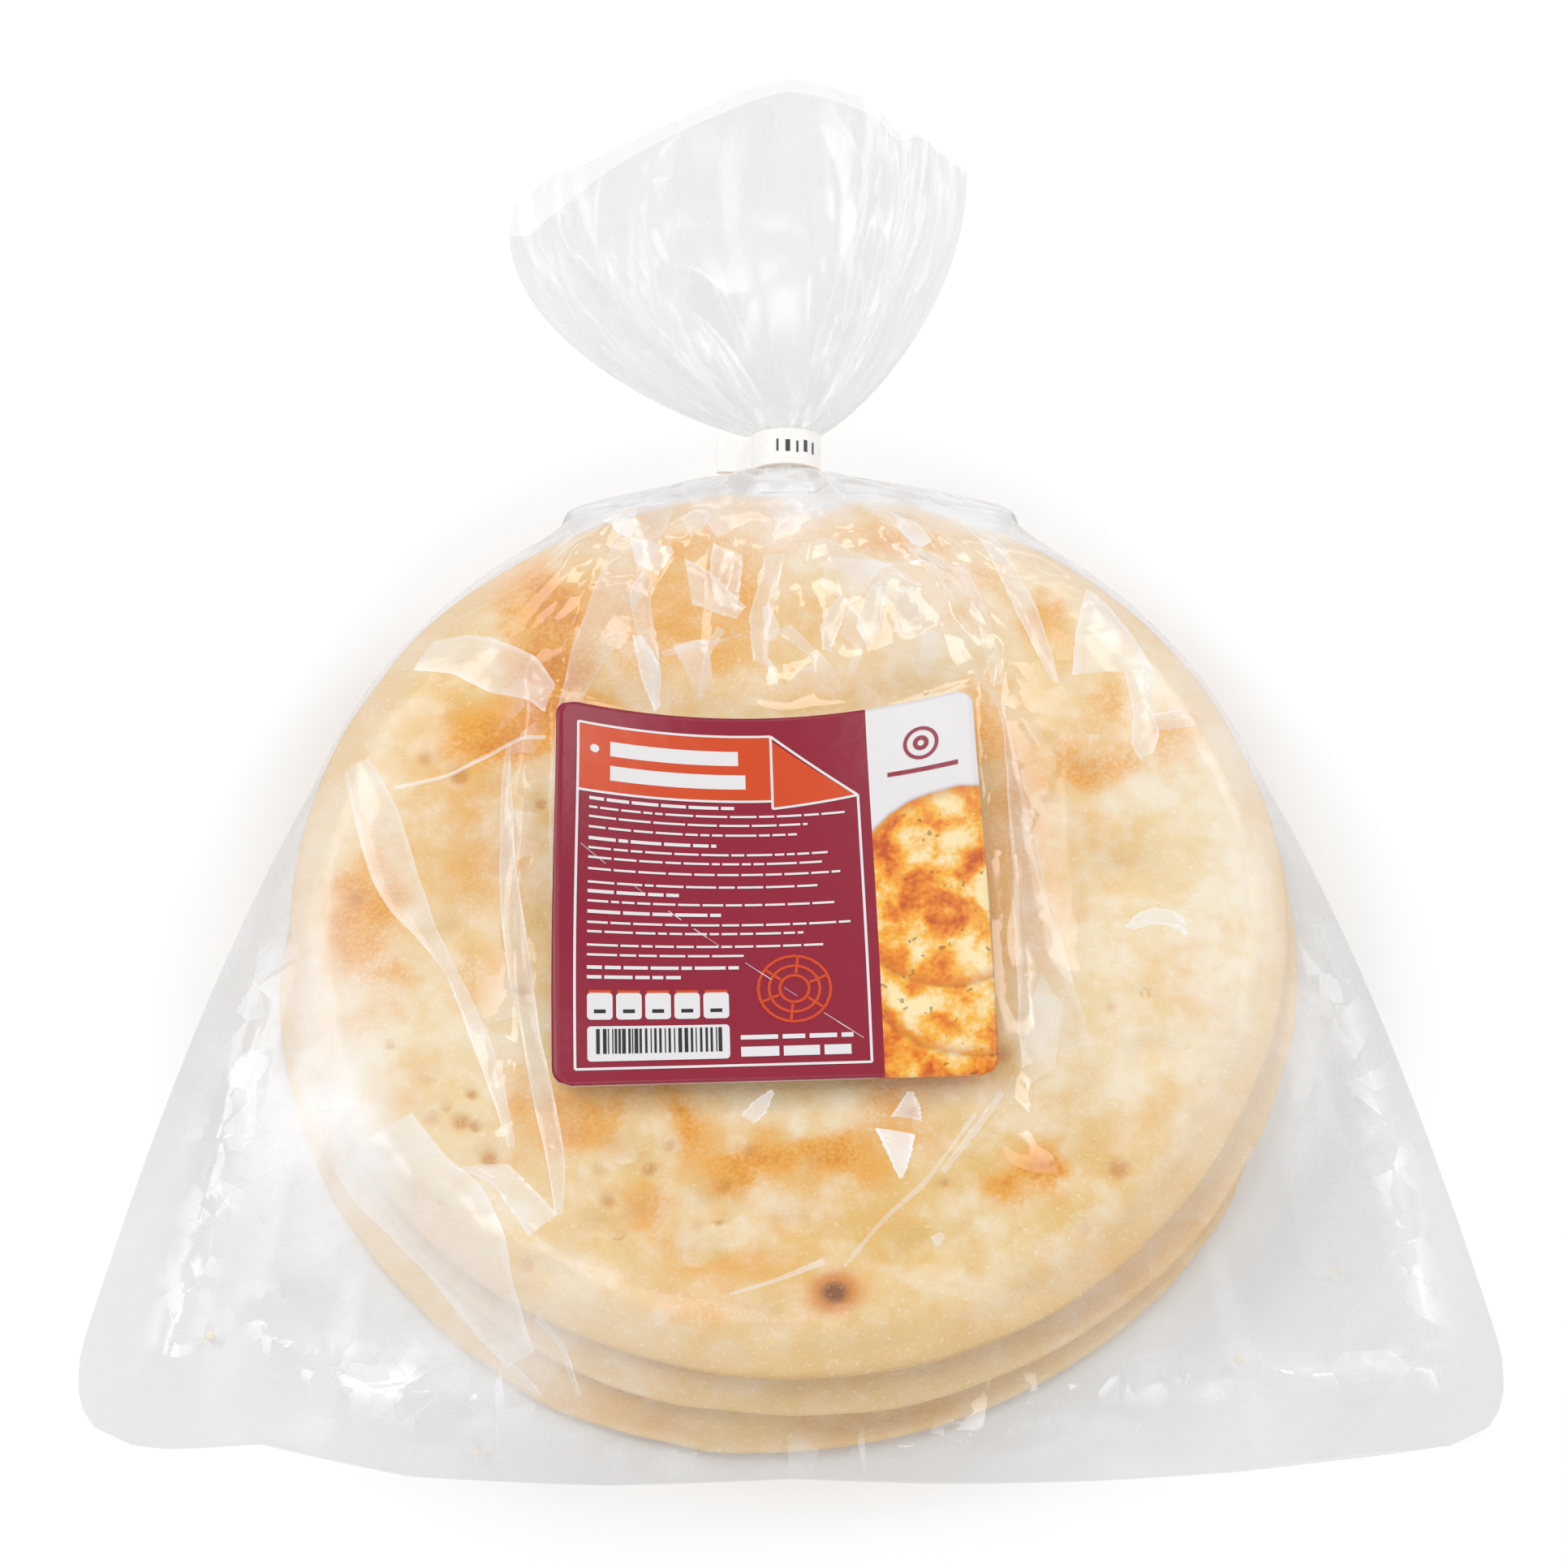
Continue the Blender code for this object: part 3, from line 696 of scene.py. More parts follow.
tuft = {
    "left": 0.0612,
    "right": 0.0403,
    "depth": 0.0185,
    "length": 0.0862,
    "square": 0.544,  # under 1: blunter sides than an ellipse
    "lossLeft": 0.368,
    "lossRight": 0.228,
    "powerLeft": 1.27,
    "powerRight": 1.76,
    "spreadLeft": 0.0063,
    "spreadRight": -0.0037,
    "lower": 0.0034,
    "flare": 0.71,
    "closing": 0.85,
    "around": 420,
    "rows": 100,
    "foldHeight": 0.0085,
    "notch": (0.0035, 0.62, 0.07),  # in the rim's right half: depth, how far out, width
    "bends": ((0.20, 0.35, 1.0, 651), (0.09, 0.5, 0.4, 653)),  # folds: size, stretch along, share, seed
    "veil": (0.07, 0.26, 0.16),  # haze: plain, in streaks that are partly painted highlights on the fan's facets, and more towards the clip
}


def halfWidth(y):
    corner = np.clip((y - bag["seamY"]) / bag["cornerLength"], 0.0, 1.0)
    widening = (bag["skirtHalfWidth"] - bag["seamHalfWidth"]) * np.sqrt(1.0 - (1.0 - corner) ** 2)
    along = np.clip((y - bag["skirtY"]) / bag["taperLength"], 0.0, 0.999)
    return (bag["seamHalfWidth"] + widening) * (1.0 - along) ** bag["taperPower"]


def foldRise(y):
    # 0 at the seam and 1 where the side folds reach their height
    return smoothStep((y - bag["seamY"]) / (bag["foldRiseEnd"] - bag["seamY"]))


def acrossShares(across):
    # places across the sheet from -1 to 1, closer together towards its sides
    spread = np.linspace(0.0, 1.0, across + 1)
    return 0.6 * (2 * spread - 1) - 0.4 * np.cos(math.pi * spread)


def planGrid(rows, across):
    # the sheet seen from above: x and y of its points, and how far across it each is
    length = bag["seamY"] + (bag["shoulderY"] - bag["seamY"]) * np.linspace(0.0, 1.0, rows + 1)
    length, share = np.meshgrid(length, acrossShares(across), indexing="ij")
    x = bag["middleX"] + share * halfWidth(length)
    places, waves = np.array(bag["seamWave"]).T / 1000.0
    wave = np.interp(share * bag["seamHalfWidth"], places, waves)
    wave = wave * (1.0 - smoothStep((length - bag["seamY"]) / bag["seamWaveReach"]))
    return x, length + bag["seamBow"] * (1.0 - foldRise(length)) * share**2 + wave, share


def foldEdgeHeight(y):
    return bag["foldHeightFront"] + (bag["foldHeightBack"] - bag["foldHeightFront"]) * foldRise(y)


def stackHeight(x, y):
    height, half = np.zeros(np.shape(x)), stack["thickness"] / 2
    for level, (radius, centreX, centreY) in enumerate(stack["breads"]):
        inside = radius - np.hypot(x - centreX, y - centreY)
        top = (level + 0.5) * stack["thickness"] + half + (bread["edgeLevel"] - half) * shoulderShare(inside)
        height = np.where(inside > 0.0, np.maximum(height, top), height)
    return height


def foldHeight(x, y, fold):
    # a long fold that holds the sheet up, and slopes down to both sides
    best = np.zeros(np.shape(x))
    for start, end, share, away in stretches(x, y, fold):
        height = stackTop + start[2] + share * (end[2] - start[2])
        best = np.maximum(best, height - bag["foldSlope"] * away)
    return best


def relax(film, x, y, share, steps):
    # pulls the film tight between its edges, over the breads, the long folds and the label
    floor = stackHeight(x, y)
    floor = np.where(floor > 0.0, floor + bag["lift"], bag["foldHeightFront"])
    floor = np.maximum(floor, foldHeight(x, y, bag["leftFold"]))
    floor = np.maximum(floor, foldHeight(x, y, bag["rightFold"]))
    across, along = labelShares(x, y)
    side, end = 1.0 + bag["labelMargin"] / (label["width"] / 2), bag["labelMargin"] / label["length"]
    held = (np.abs(across) < side) & (along > -end) & (along < 1.0 + end)
    bed, edge = labelBed(across, along), foldEdgeHeight(y)
    crown = neck["place"][2] - math.sin(neck["tilt"]) * neck["drop"]
    crown = crown + neck["radiusZ"] * np.sqrt(1.0 - share[-1] ** 2)
    last = np.maximum(floor[-1], 0.7 * crown + 0.3 * edge[-1])
    film = np.maximum(floor, edge) if film is None else np.maximum(film, floor)
    pullX = 4.0 * (x[1:-1, 2:] - x[1:-1, :-2]) ** -2.0
    pullY = 4.0 * (y[2:, 1:-1] - y[:-2, 1:-1]) ** -2.0
    for _ in range(steps):
        pull = pullX * (film[1:-1, 2:] + film[1:-1, :-2]) + pullY * (film[2:, 1:-1] + film[:-2, 1:-1])
        film[1:-1, 1:-1] = np.maximum((pull - bag["sag"]) / (2.0 * (pullX + pullY)), floor[1:-1, 1:-1])
        film[held] = bed[held]
        film[0] = bag["foldHeightFront"]
        film[-1] = last
        film[:, 0], film[:, -1] = edge[:, 0], edge[:, -1]
    return film


def drape():
    film = None
    for level, steps in enumerate(bag["steps"]):
        coarser = bag["coarse"] >> level
        rows, across = bag["rows"] // coarser, bag["across"] // coarser
        x, y, share = planGrid(rows, across)
        if film is not None:
            finer = np.zeros((rows + 1, across + 1))
            finer[::2, ::2] = film
            finer[1::2, ::2] = (film[1:] + film[:-1]) / 2
            finer[:, 1::2] = (finer[:, 2::2] + finer[:, :-1:2]) / 2
            film = finer
        film = relax(film, x, y, share, steps)
    return x, y, share, film


def pleatWave(turn):
    return sum(share * np.cos(count * turn + phase) for count, share, phase in neck["pleats"])


def onNeckAxis(offX, offZ, distance):
    runY, runZ = math.cos(neck["tilt"]), math.sin(neck["tilt"])
    placeX, placeY, placeZ = neck["place"]
    x, y = placeX + offX, placeY + distance * runY - offZ * runZ
    return np.stack(np.broadcast_arrays(x, y, placeZ + distance * runZ + offZ * runY), axis=-1)


def neckRing(turn):
    fullness = 1.0 + 0.05 * pleatWave(turn)
    return neck["radiusX"] * np.cos(turn) * fullness, neck["radiusZ"] * np.sin(turn) * fullness


def neckRows(edge, turn, count):
    # rows of points from the sheet's last row to the clip, and how far along each is
    start = onNeckAxis(*neckRing(turn), -neck["halfLength"])
    parts = np.linspace(0.0, 1.0, count)[1:]
    return parts, [edge + (start - edge) * part ** np.array(neck["curve"]) for part in parts]


wrinkles = {
    "neckFacets": (0.20, 0.085, 0.075, 0.030),  # near the neck: cell, height for each metre away, twice
    # facets: size, seed, then height everywhere, behind the label, on long folds, on creases, on the skirt
    "facets": ((0.030, 611, 0.0012, 0.0012, 0.0, 0.0, 0.0), (0.0155, 617, 0.0006, 0.0018, 0.0020, 0.0, 0.0),
               (0.0075, 619, 0.0, 0.0009, 0.0010, 0.0007, 0.0004),
               (0.0046, 621, 0.0, 0.0, 0.0002, 0.0005, 0.0)),
    "band": (0.0070, 0.0010, 0.0012),  # facets of the skirt: size, height, and more where it is patchy
    "patchSize": 0.030,
    "smooth": {"label": 0.006, "sides": 0.018, "seam": 0.006},  # it stays flat this near to them
    "behind": (-0.002, 0.056, 0.030, 0.020),  # the crumpled place: middle, half width, start, fade
    "foldReach": 0.016,
    "skirt": (0.107, 0.012),  # how far from the middle it starts, and its fade
    "shoulder": (0.080, 0.014, 0.8),  # the smoother place before the neck: start, fade, how much
    "calm": (0.078, 0.014),  # where the shine fades before the neck: start and fade
    "crispPlain": 0.03,
    "crisp": {"behind": 0.10, "ridges": 0.12, "creases": 0.85, "skirt": 0.06},
    # how much of the milky flakes each place gets; the flakes are painted highlights
    "shard": {"behind": 0.36, "ridges": 0.20, "creases": 0.34, "skirt": 0.04},
    "shadedSide": (0.085, 0.030, 0.8),  # painted shade: greyer haze on the skirt's right side, which the stack shades from the left light: start, fade, how much
    "dimBack": (0.080, 0.016),
    "veil": 0.020,  # milky haze of the plain sheet
    "skirtVeil": 0.03,
    "foldVeil": 0.04,
    "creaseVeil": 0.12,
    "streakVeil": (0.22, 0.16),  # milky streaks of the skirt, left and right
    "streakSize": (0.0055, 0.0045),  # how wide they are at the sides and at the front
    "rimDull": (0.101, 0.006, 0.75),  # less shine over the bread's edge: radius, width, how much
    "rimBand": (0.1015, 0.011, 0.009),  # the milky band there: radius, width outside and inside it
    "dull": (-0.070, 0.015, 0.026, 0.045, 0.7),  # where it shines less: x, y, radius across, along, how much
    # milkier places: x, y, radius across, radius along, how much
    "veils": (
        (-0.096, -0.054, 0.017, 0.044, 0.34), (-0.066, -0.098, 0.036, 0.013, 0.34),
        (0.100, -0.060, 0.016, 0.042, 0.08), (0.074, -0.096, 0.030, 0.013, 0.14),
        (0.0, 0.103, 0.090, 0.011, 0.42), (-0.002, 0.090, 0.018, 0.014, 0.26),
        (0.122, -0.055, 0.015, 0.055, 0.18), (-0.058, 0.080, 0.018, 0.010, 0.12),
        (0.030, 0.070, 0.016, 0.018, 0.16),
    ),
    # milky band over the top bread's edge: direction in degrees from +X, and how much
    "rimVeil": (
        (-180, 0.36), (-150, 0.50), (-125, 0.30), (-100, 0.02), (-60, 0.06), (-30, 0.28), (10, 0.42),
        (50, 0.46), (90, 0.42), (135, 0.28), (180, 0.36),
    ),
    # creased lines that stand up: points in millimetres, half width, height
    "creases": (
        (((110.9, -2.0), (114.6, -16.8), (121.9, -43.2), (126.5, -72.1), (130.0, -95.4)), 7.0, 1.0),
        (((36.8, -108.2), (59.1, -101.3), (82.6, -98.1), (108.7, -96.8), (128.9, -93.8)), 6.0, 0.8),
        (((-109.2, -13.4), (-113.3, -30.3), (-116.9, -52.3), (-119.2, -68.5), (-124.1, -93.1)), 8.5, 1.0),
        (((-105.9, -85.8), (-96.4, -96.2), (-79.9, -100.5), (-66.8, -103.1), (-49.9, -101.4)), 7.5, 1.0),
        (((-34.2, -113.3), (-2.0, -113.8), (36.8, -111.6)), 3.6, 0.5),
    ),
}


def filmZones(x, y, share):
    # where the sheet is calm and where it is crumpled
    across, along = labelShares(x, y)
    offLabel = np.maximum(np.abs(across) - 1.03, np.maximum(-along - 0.02, along - 1.02)) * label["width"] / 2
    left, right = (ridge(x, y, bag[fold], wrinkles["foldReach"]) for fold in ("leftFold", "rightFold"))
    creases, lift = np.zeros(x.shape), np.zeros(x.shape)
    for points, wide, height in wrinkles["creases"]:
        crease = ridge(x, y, np.array(points) / 1000, wide / 1000)
        creases, lift = np.maximum(creases, crease), np.maximum(lift, crease * height / 1000)
    smooth, (middle, wide, start, fade) = wrinkles["smooth"], wrinkles["behind"]
    skirtStart, skirtFade = wrinkles["skirt"]
    return {
        "free": smoothStep(offLabel / smooth["label"]),
        "edges": smoothStep((1.0 - np.abs(share)) * halfWidth(y) / smooth["sides"]),
        "front": smoothStep((y - bag["seamY"]) / smooth["seam"]),
        "behind": smoothStep((y - start) / fade) * smoothStep((wide - np.abs(x - middle)) / fade),
        "ridges": smoothStep(np.maximum(left, right) * 1.6),
        "skirt": smoothStep((np.hypot(x, y + 0.003) - skirtStart) / skirtFade),
        "creases": creases,
        "creaseLift": lift,
        "away": np.hypot(x - neck["place"][0], y - neck["place"][1]),
        "turn": np.arctan2(x - neck["place"][0], neck["place"][1] - y),
        "radius": np.hypot(x, y),
        "around": np.arctan2(x, -y),
    }


def filmRelief(x, y, zones):
    # facets, folds and pleats on top of the drape
    away, turn = zones["away"], zones["turn"]
    cell, height, fineCell, fineHeight = wrinkles["neckFacets"]
    reach = 0.30 * np.log(away / 0.01)
    fan = smoothStep((0.105 - away) / 0.05) * smoothStep(away / 0.02)
    relief = fan * away * height * facetField(turn, reach, cell, 601)
    relief = relief + fan * away * fineHeight * facetField(turn, reach, fineCell, 607)
    patchy = smoothStep(2.2 * softNoise(x, y, wrinkles["patchSize"], 623) - 0.75)
    skirt, behind, ridges, creases = zones["skirt"], zones["behind"], zones["ridges"], zones["creases"]
    for size, seed, plain, onBehind, onRidges, onCreases, onSkirt in wrinkles["facets"]:
        height = plain + onBehind * behind + onRidges * ridges + onCreases * creases
        relief = relief + facetField(x, y, size, seed) * (height + onSkirt * skirt * patchy)
    size, height, more = wrinkles["band"]
    band = facetField(0.033 * zones["around"], zones["radius"] - 0.1, size, 627)
    relief = relief + band * (height + more * patchy) * skirt * (1.0 - behind) + zones["creaseLift"]
    start, fade, flatter = wrinkles["shoulder"]
    shoulder = 1.0 - flatter * smoothStep((y - start) / fade)
    return relief * zones["free"] * zones["edges"] * zones["front"] * shoulder


def filmVeil(x, y, zones):
    # how milky the sheet is
    veil = wrinkles["veil"] + wrinkles["skirtVeil"] * zones["skirt"]
    veil = veil + wrinkles["foldVeil"] * zones["ridges"] * zones["free"]
    veil = veil + wrinkles["creaseVeil"] * zones["creases"]
    for *place, amount in wrinkles["veils"]:
        veil = veil + amount * spot(x, y, *place)
    directions, amounts = np.array(wrinkles["rimVeil"]).T
    rimVeil = np.interp(np.degrees(np.arctan2(y, x)), directions, amounts)
    radius, outside, inside = wrinkles["rimBand"]
    off = (zones["radius"] - radius) / np.where(zones["radius"] > radius, outside, inside)
    veil = veil + rimVeil * np.exp(-(off**2))
    beside = smoothStep((np.abs(x) - 0.070) / 0.020)
    longSize, wideSize = wrinkles["streakSize"]
    long = softNoise(0.957 * np.abs(x) + 0.29 * y, 0.14 * (0.957 * y - 0.29 * np.abs(x)), longSize, 637)
    wide = softNoise(0.14 * x, y, wideSize, 639)
    streaks = smoothStep(3.0 * (beside * long + (1.0 - beside) * wide) - 1.5)
    left, right = wrinkles["streakVeil"]
    streaks = streaks * np.where(x > 0.07, right, left) * (1.0 - zones["creases"]) * zones["front"]
    veil = veil + zones["skirt"] * streaks
    # painted highlights: in the crumpled places the haze changes facet by facet, as if some facets caught the
    # lamps
    patches = facetField(x, y, 0.012, 631)
    crumpled = np.maximum(np.maximum(zones["behind"], zones["ridges"]), 0.5 * zones["skirt"])
    return veil * (0.60 + 0.8 * patches * crumpled + 0.5 * softNoise(x, y, 0.016, 633))


filmLook = {
    "facets": ((9.5, 0.26), (4.4, 0.13)),  # flat facets of the shine: size in millimetres and slope
    "shine": (0.04, 0.70),  # seen straight on, and more at a slant
    "creaseGlint": (4.4, 0.14),  # painted highlight lines along the creases: size in millimetres and strength
    "glintShards": (13.0, 6.5),  # painted highlights as milky angular flakes: sizes in millimetres
    "glintShardTurn": 0.5,
    "most": 0.92,  # the film never hides more than this
    # how much darker the dimmed haze is; on the skirt's right side this is painted shade
    "dimmed": 0.72,
    "roughness": (0.09, 0.25),  # of crisp film, and more where it is matte
    # each film's tint, gloss, colour of its haze, and how its facets are stretched
    "clearFilm": ((0.965, 0.965, 0.965), 1.4, (0.93, 0.93, 0.935), (1.0, 1.0, 0.0)),
    "fanFilm": ((0.930, 0.930, 0.931), 1.2, (0.80, 0.80, 0.80), (1.5, 0.5, 0.0)),
    "lowFilm": ((0.81, 0.81, 0.813), 1.0, (0.80, 0.80, 0.80), (1.0, 1.0, 0.0)),
}


def filmMaterial(name):
    # clear film: see-through, with sharp bright reflections where it is turned to a lamp, and a milky haze
    tint, gloss, haze, stretch = filmLook[name]
    paint = Paint(name)
    crisp, veil = paint.attribute("crisp"), paint.attribute("veil")
    bright, matte = paint.attribute("bright"), paint.attribute("matte")
    flat, streak = paint.place(stretch), paint.noise(7.0, 2.0, 0.5, 0.4)
    coarse, fine = (paint.crumple(size, slope, flat) for size, slope in filmLook["facets"])
    normal = paint.bump((coarse + fine) * crisp, 0.001)
    slant = paint.node("ShaderNodeLayerWeight", {}, {"Blend": 0.5, "Normal": normal}, "Facing")
    straight, slanted = filmLook["shine"]
    shine = (straight + slanted * slant**5) * gloss * bright
    # painted highlights: thin milky lines on the cell edges, where the creases would catch the light
    size, strength = filmLook["creaseGlint"]
    line = 1 - paint.ramp(paint.cells(size, flat, "Distance", "DISTANCE_TO_EDGE"), 0.0, 0.05)
    # painted highlights: milky angular flakes where facets would catch the lamps
    turned = {"Vector": flat, "Rotation": (0.0, 0.0, filmLook["glintShardTurn"]), "Scale": (1.0, 0.45, 1.0)}
    turned = paint.node("ShaderNodeMapping", {}, turned)
    large, small = filmLook["glintShards"]
    glintShards = paint.ramp(paint.cells(large, turned, "Color"), 0.50, 0.60)
    glintShards = glintShards * paint.ramp(paint.cells(small, flat, "Color"), 0.44, 0.56)
    milk = veil * (0.7 + 0.6 * streak) + strength * crisp**2 * line + glintShards * paint.attribute("shard")
    share = paint.node("ShaderNodeClamp", {}, {"Value": shine + milk, "Min": 0.0, "Max": filmLook["most"]})
    clear = paint.node("ShaderNodeBsdfTransparent", {}, {"Color": (*tint, 1.0)})
    # the haze is darker where 'dim' is set: painted shade on the skirt's right side, and greyer film towards
    # the neck
    colour = paint.blend(paint.attribute("dim"), haze, tuple(filmLook["dimmed"] * part for part in haze))
    plain, more = filmLook["roughness"]
    inputs = {"Base Color": colour, "Metallic": shine / (shine + milk + 0.0001),
              "Roughness": plain + more * matte, "Specular IOR Level": 0.3, "Normal": normal}
    surface = paint.node("ShaderNodeBsdfPrincipled", {}, inputs)
    return paint.finish(paint.node("ShaderNodeMixShader", {}, {0: share, 1: clear, 2: surface}))


def asFilm(made):
    # so thin that it dims no light on its way in
    made.visible_shadow = False
    made.visible_diffuse = False
    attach(made, "root")
    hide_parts("bag")


def filmAt(sheet, x, y):
    # height of the finished top sheet at places (x, y)
    rows, across = bag["rows"], bag["across"]
    share = np.clip((x - bag["middleX"]) / halfWidth(y), -1.0, 1.0)
    length = y - bag["seamBow"] * (1.0 - foldRise(y)) * share**2
    share = np.clip((x - bag["middleX"]) / halfWidth(length), -1.0, 1.0)
    row = np.clip((length - bag["seamY"]) / (bag["shoulderY"] - bag["seamY"]), 0.0, 0.9999) * rows
    column = np.interp(share, acrossShares(across), np.arange(across + 1))
    column = np.clip(column, 0.0, across - 0.001)
    lowRow, lowColumn = np.floor(row).astype(int), np.floor(column).astype(int)
    partRow, partColumn = row - lowRow, column - lowColumn
    low = sheet[lowRow, lowColumn] * (1 - partColumn) + sheet[lowRow, lowColumn + 1] * partColumn
    high = sheet[lowRow + 1, lowColumn] * (1 - partColumn) + sheet[lowRow + 1, lowColumn + 1] * partColumn
    return low * (1 - partRow) + high * partRow


def filmFinish(x, y, zones):
    # what the shader reads besides the haze: creased places, milky flakes that are painted highlights, shiny
    # and matte places, and dimmed places with painted shade
    start, fade = wrinkles["calm"]
    calm = 1.0 - smoothStep((y - start) / fade)
    crisp = sum(amount * zones[zone] for zone, amount in wrinkles["crisp"].items())
    crisp = np.clip(crisp + wrinkles["crispPlain"], 0.0, 1.0) * zones["free"]
    shard = sum(amount * zones[zone] * (calm if zone in ("behind", "ridges") else 1.0)
                for zone, amount in wrinkles["shard"].items())
    busy = np.maximum(np.maximum(zones["behind"], zones["ridges"]), zones["creases"])
    bright = (0.30 + 0.70 * busy * (0.3 + 0.7 * calm)) * (0.3 + 0.7 * zones["edges"])
    bright = bright * (1.0 - 0.35 * zones["skirt"] * (1.0 - zones["creases"]))
    radius, wide, rimDull = wrinkles["rimDull"]
    rim = np.exp(-(((zones["radius"] - radius) / wide) ** 2))
    *dullPlace, dull = wrinkles["dull"]
    bright = bright * (1.0 - dull * spot(x, y, *dullPlace))
    bright = bright * (1.0 - rimDull * rim * smoothStep(2 * softNoise(x, y, 0.012, 635)))
    matte = np.clip(zones["skirt"] - 0.8 * zones["creases"] + 0.5 * rim, 0.0, 1.0)
    # painted shade: the skirt's right side lies in the stack's shadow, so its haze is made greyer
    start, fade, dimmed = wrinkles["shadedSide"]
    shadedSide = dimmed * zones["skirt"] * smoothStep((x - start) / fade) * (1.0 - zones["creases"])
    start, fade = wrinkles["dimBack"]
    dim = np.maximum(neck["dim"] * smoothStep((y - start) / fade), shadedSide)
    return {"crisp": crisp, "shard": shard * zones["free"], "bright": bright, "matte": matte, "dim": dim}


def addFilmTop(material):
    x, y, share, film = drape()
    zones = filmZones(x, y, share)
    film = film + filmRelief(x, y, zones)
    body = np.stack([x, y, film], axis=-1)
    turn = np.linspace(math.pi, 0.0, bag["across"] + 1)
    parts, rows = neckRows(body[-1], turn, neck["rows"])
    pleats = facetField(*np.meshgrid(turn, parts * 0.8), 0.16, 641)
    for part, row, pleat in zip(parts, rows, pleats):
        row[:, 2] += neck["pleatHeight"] * math.sin(math.pi * part) * pleat * np.sin(turn)
    rows += [onNeckAxis(*neckRing(turn), distance) for distance in (0.0, neck["halfLength"])]
    extra, rows = (len(rows), len(turn)), [*body, *rows]
    veil = filmVeil(x, y, zones)
    milky = [veil[-1] + (neck["veil"] + neck["pleatVeil"] * pleat - veil[-1]) * min(1.0, 1.6 * part)
             for part, pleat in zip(parts, pleats)]
    attributes = {"veil": np.vstack([veil] + milky + [milky[-1]] * 2)}
    for key, values in filmFinish(x, y, zones).items():
        attributes[key] = np.vstack([values, np.full(extra, neck[key])])
    faces = gridFaces(len(rows), bag["across"] + 1)
    made = addMesh("filmTop", np.array(rows), faces, [material], attributes=attributes)
    asFilm(made)
    return film


def addFilmUnder(material):
    columns = bag["underAcross"] + 1
    x, y, share = planGrid(bag["underRows"], bag["underAcross"])
    side = smoothStep(1.0 - (1.0 - np.abs(share)) * halfWidth(y) / bag["underLiftWidth"])
    rise = smoothStep((y - bag["underLiftY"]) / bag["underLiftLength"]) * bag["underNeckHeight"]
    under = np.maximum(foldEdgeHeight(y) * side, rise * (1.0 - 0.3 * share**2))
    turn = -np.linspace(math.pi, 0.0, columns)
    body = np.stack([x, y, under], axis=-1)
    body[-1, [0, -1], 2] = foldEdgeHeight(y)[-1, [0, -1]]
    _, rows = neckRows(body[-1], turn, neck["underRows"])
    rows = [*body, *rows, onNeckAxis(*neckRing(turn), neck["halfLength"])]
    plain, atBack, atSide = bag["underVeil"]
    start, fade = bag["underVeilBack"]
    veil = plain + atBack * smoothStep((y - start) / fade) + atSide * side
    veil = np.vstack([veil, np.full((len(rows) - len(veil), columns), neck["underVeil"])])
    made = addMesh("filmUnder", np.array(rows), gridFaces(len(rows), columns, flip=True), [material],
                   attributes={"veil": veil, "crisp": 0.0, "bright": 0.3, "matte": 0.8})
    asFilm(made)


def addFilmTuft(material):
    turn = np.linspace(0.0, 2 * math.pi, tuft["around"], endpoint=False)
    wave = pleatWave(turn)
    onLeft = np.cos(turn) < 0.0
    side = np.where(onLeft, tuft["left"], tuft["right"])
    loss = np.where(onLeft, tuft["lossLeft"], tuft["lossRight"])
    power = np.where(onLeft, tuft["powerLeft"], tuft["powerRight"])
    spread = np.where(onLeft, tuft["spreadLeft"], tuft["spreadRight"])
    off = np.abs(np.cos(turn)) ** tuft["square"]
    rimX = side * np.sign(np.cos(turn)) * off * (1.0 + 0.015 * wave)
    rimZ = tuft["depth"] * np.sin(turn) * (1.0 + 0.14 * wave)
    deep, place, wide = tuft["notch"]
    notch = deep * np.exp(-(((off - place) / wide) ** 2)) * ~onLeft
    rimLength = tuft["length"] * (1.0 - loss * off**power) - notch + 2 * spread * np.sin(turn) * off**6
    rimLength = rimLength + tuft["lower"] * np.clip(-np.sin(turn), 0.0, 1.0) * (1.0 - off**8)
    ringX, ringZ = neckRing(turn)
    parts = np.linspace(0.0, 1.0, tuft["rows"])
    flatTurn, flatPart = np.meshgrid(turn, parts)
    bends = sum(weight * facetField(flatTurn, stretch * flatPart, cell, seed)
                for cell, stretch, weight, seed in tuft["bends"])
    rows = []
    for part, fold in zip(parts, bends):
        bend = math.sin(part * math.pi / 2)
        offX = ringX + (rimX - ringX) * bend ** tuft["flare"]
        offZ = ringZ + (rimZ - ringZ) * bend**0.8 * (1.0 - tuft["closing"] * part**2)
        distance = neck["halfLength"] + (rimLength - neck["halfLength"]) * part
        swing = tuft["foldHeight"] * (fold - 0.6) * smoothStep(part / 0.4) * (1.0 - 0.7 * part**3)
        rows.append(onNeckAxis(offX, offZ + swing * np.abs(np.sin(turn)) ** 1.5, distance))
    # the streaks follow the fan's facets: partly its folded layers, partly painted highlights on facets that
    # would catch the light
    streak = facetField(flatTurn, 0.30 * flatPart, 0.17, 655)
    plain, streaky, near = tuft["veil"]
    veil = plain + streaky * streak + near * (1.0 - flatPart) ** 3
    made = addMesh("filmTuft", np.array(rows), gridFaces(len(rows), tuft["around"], closed=True), [material],
                   attributes={"veil": veil, "crisp": 0.05 * smoothStep(4 * flatPart),
                               "bright": 0.35 + 0.45 * np.abs(np.sin(flatTurn)), "matte": 0.5, "shard": 0.07})
    asFilm(made)


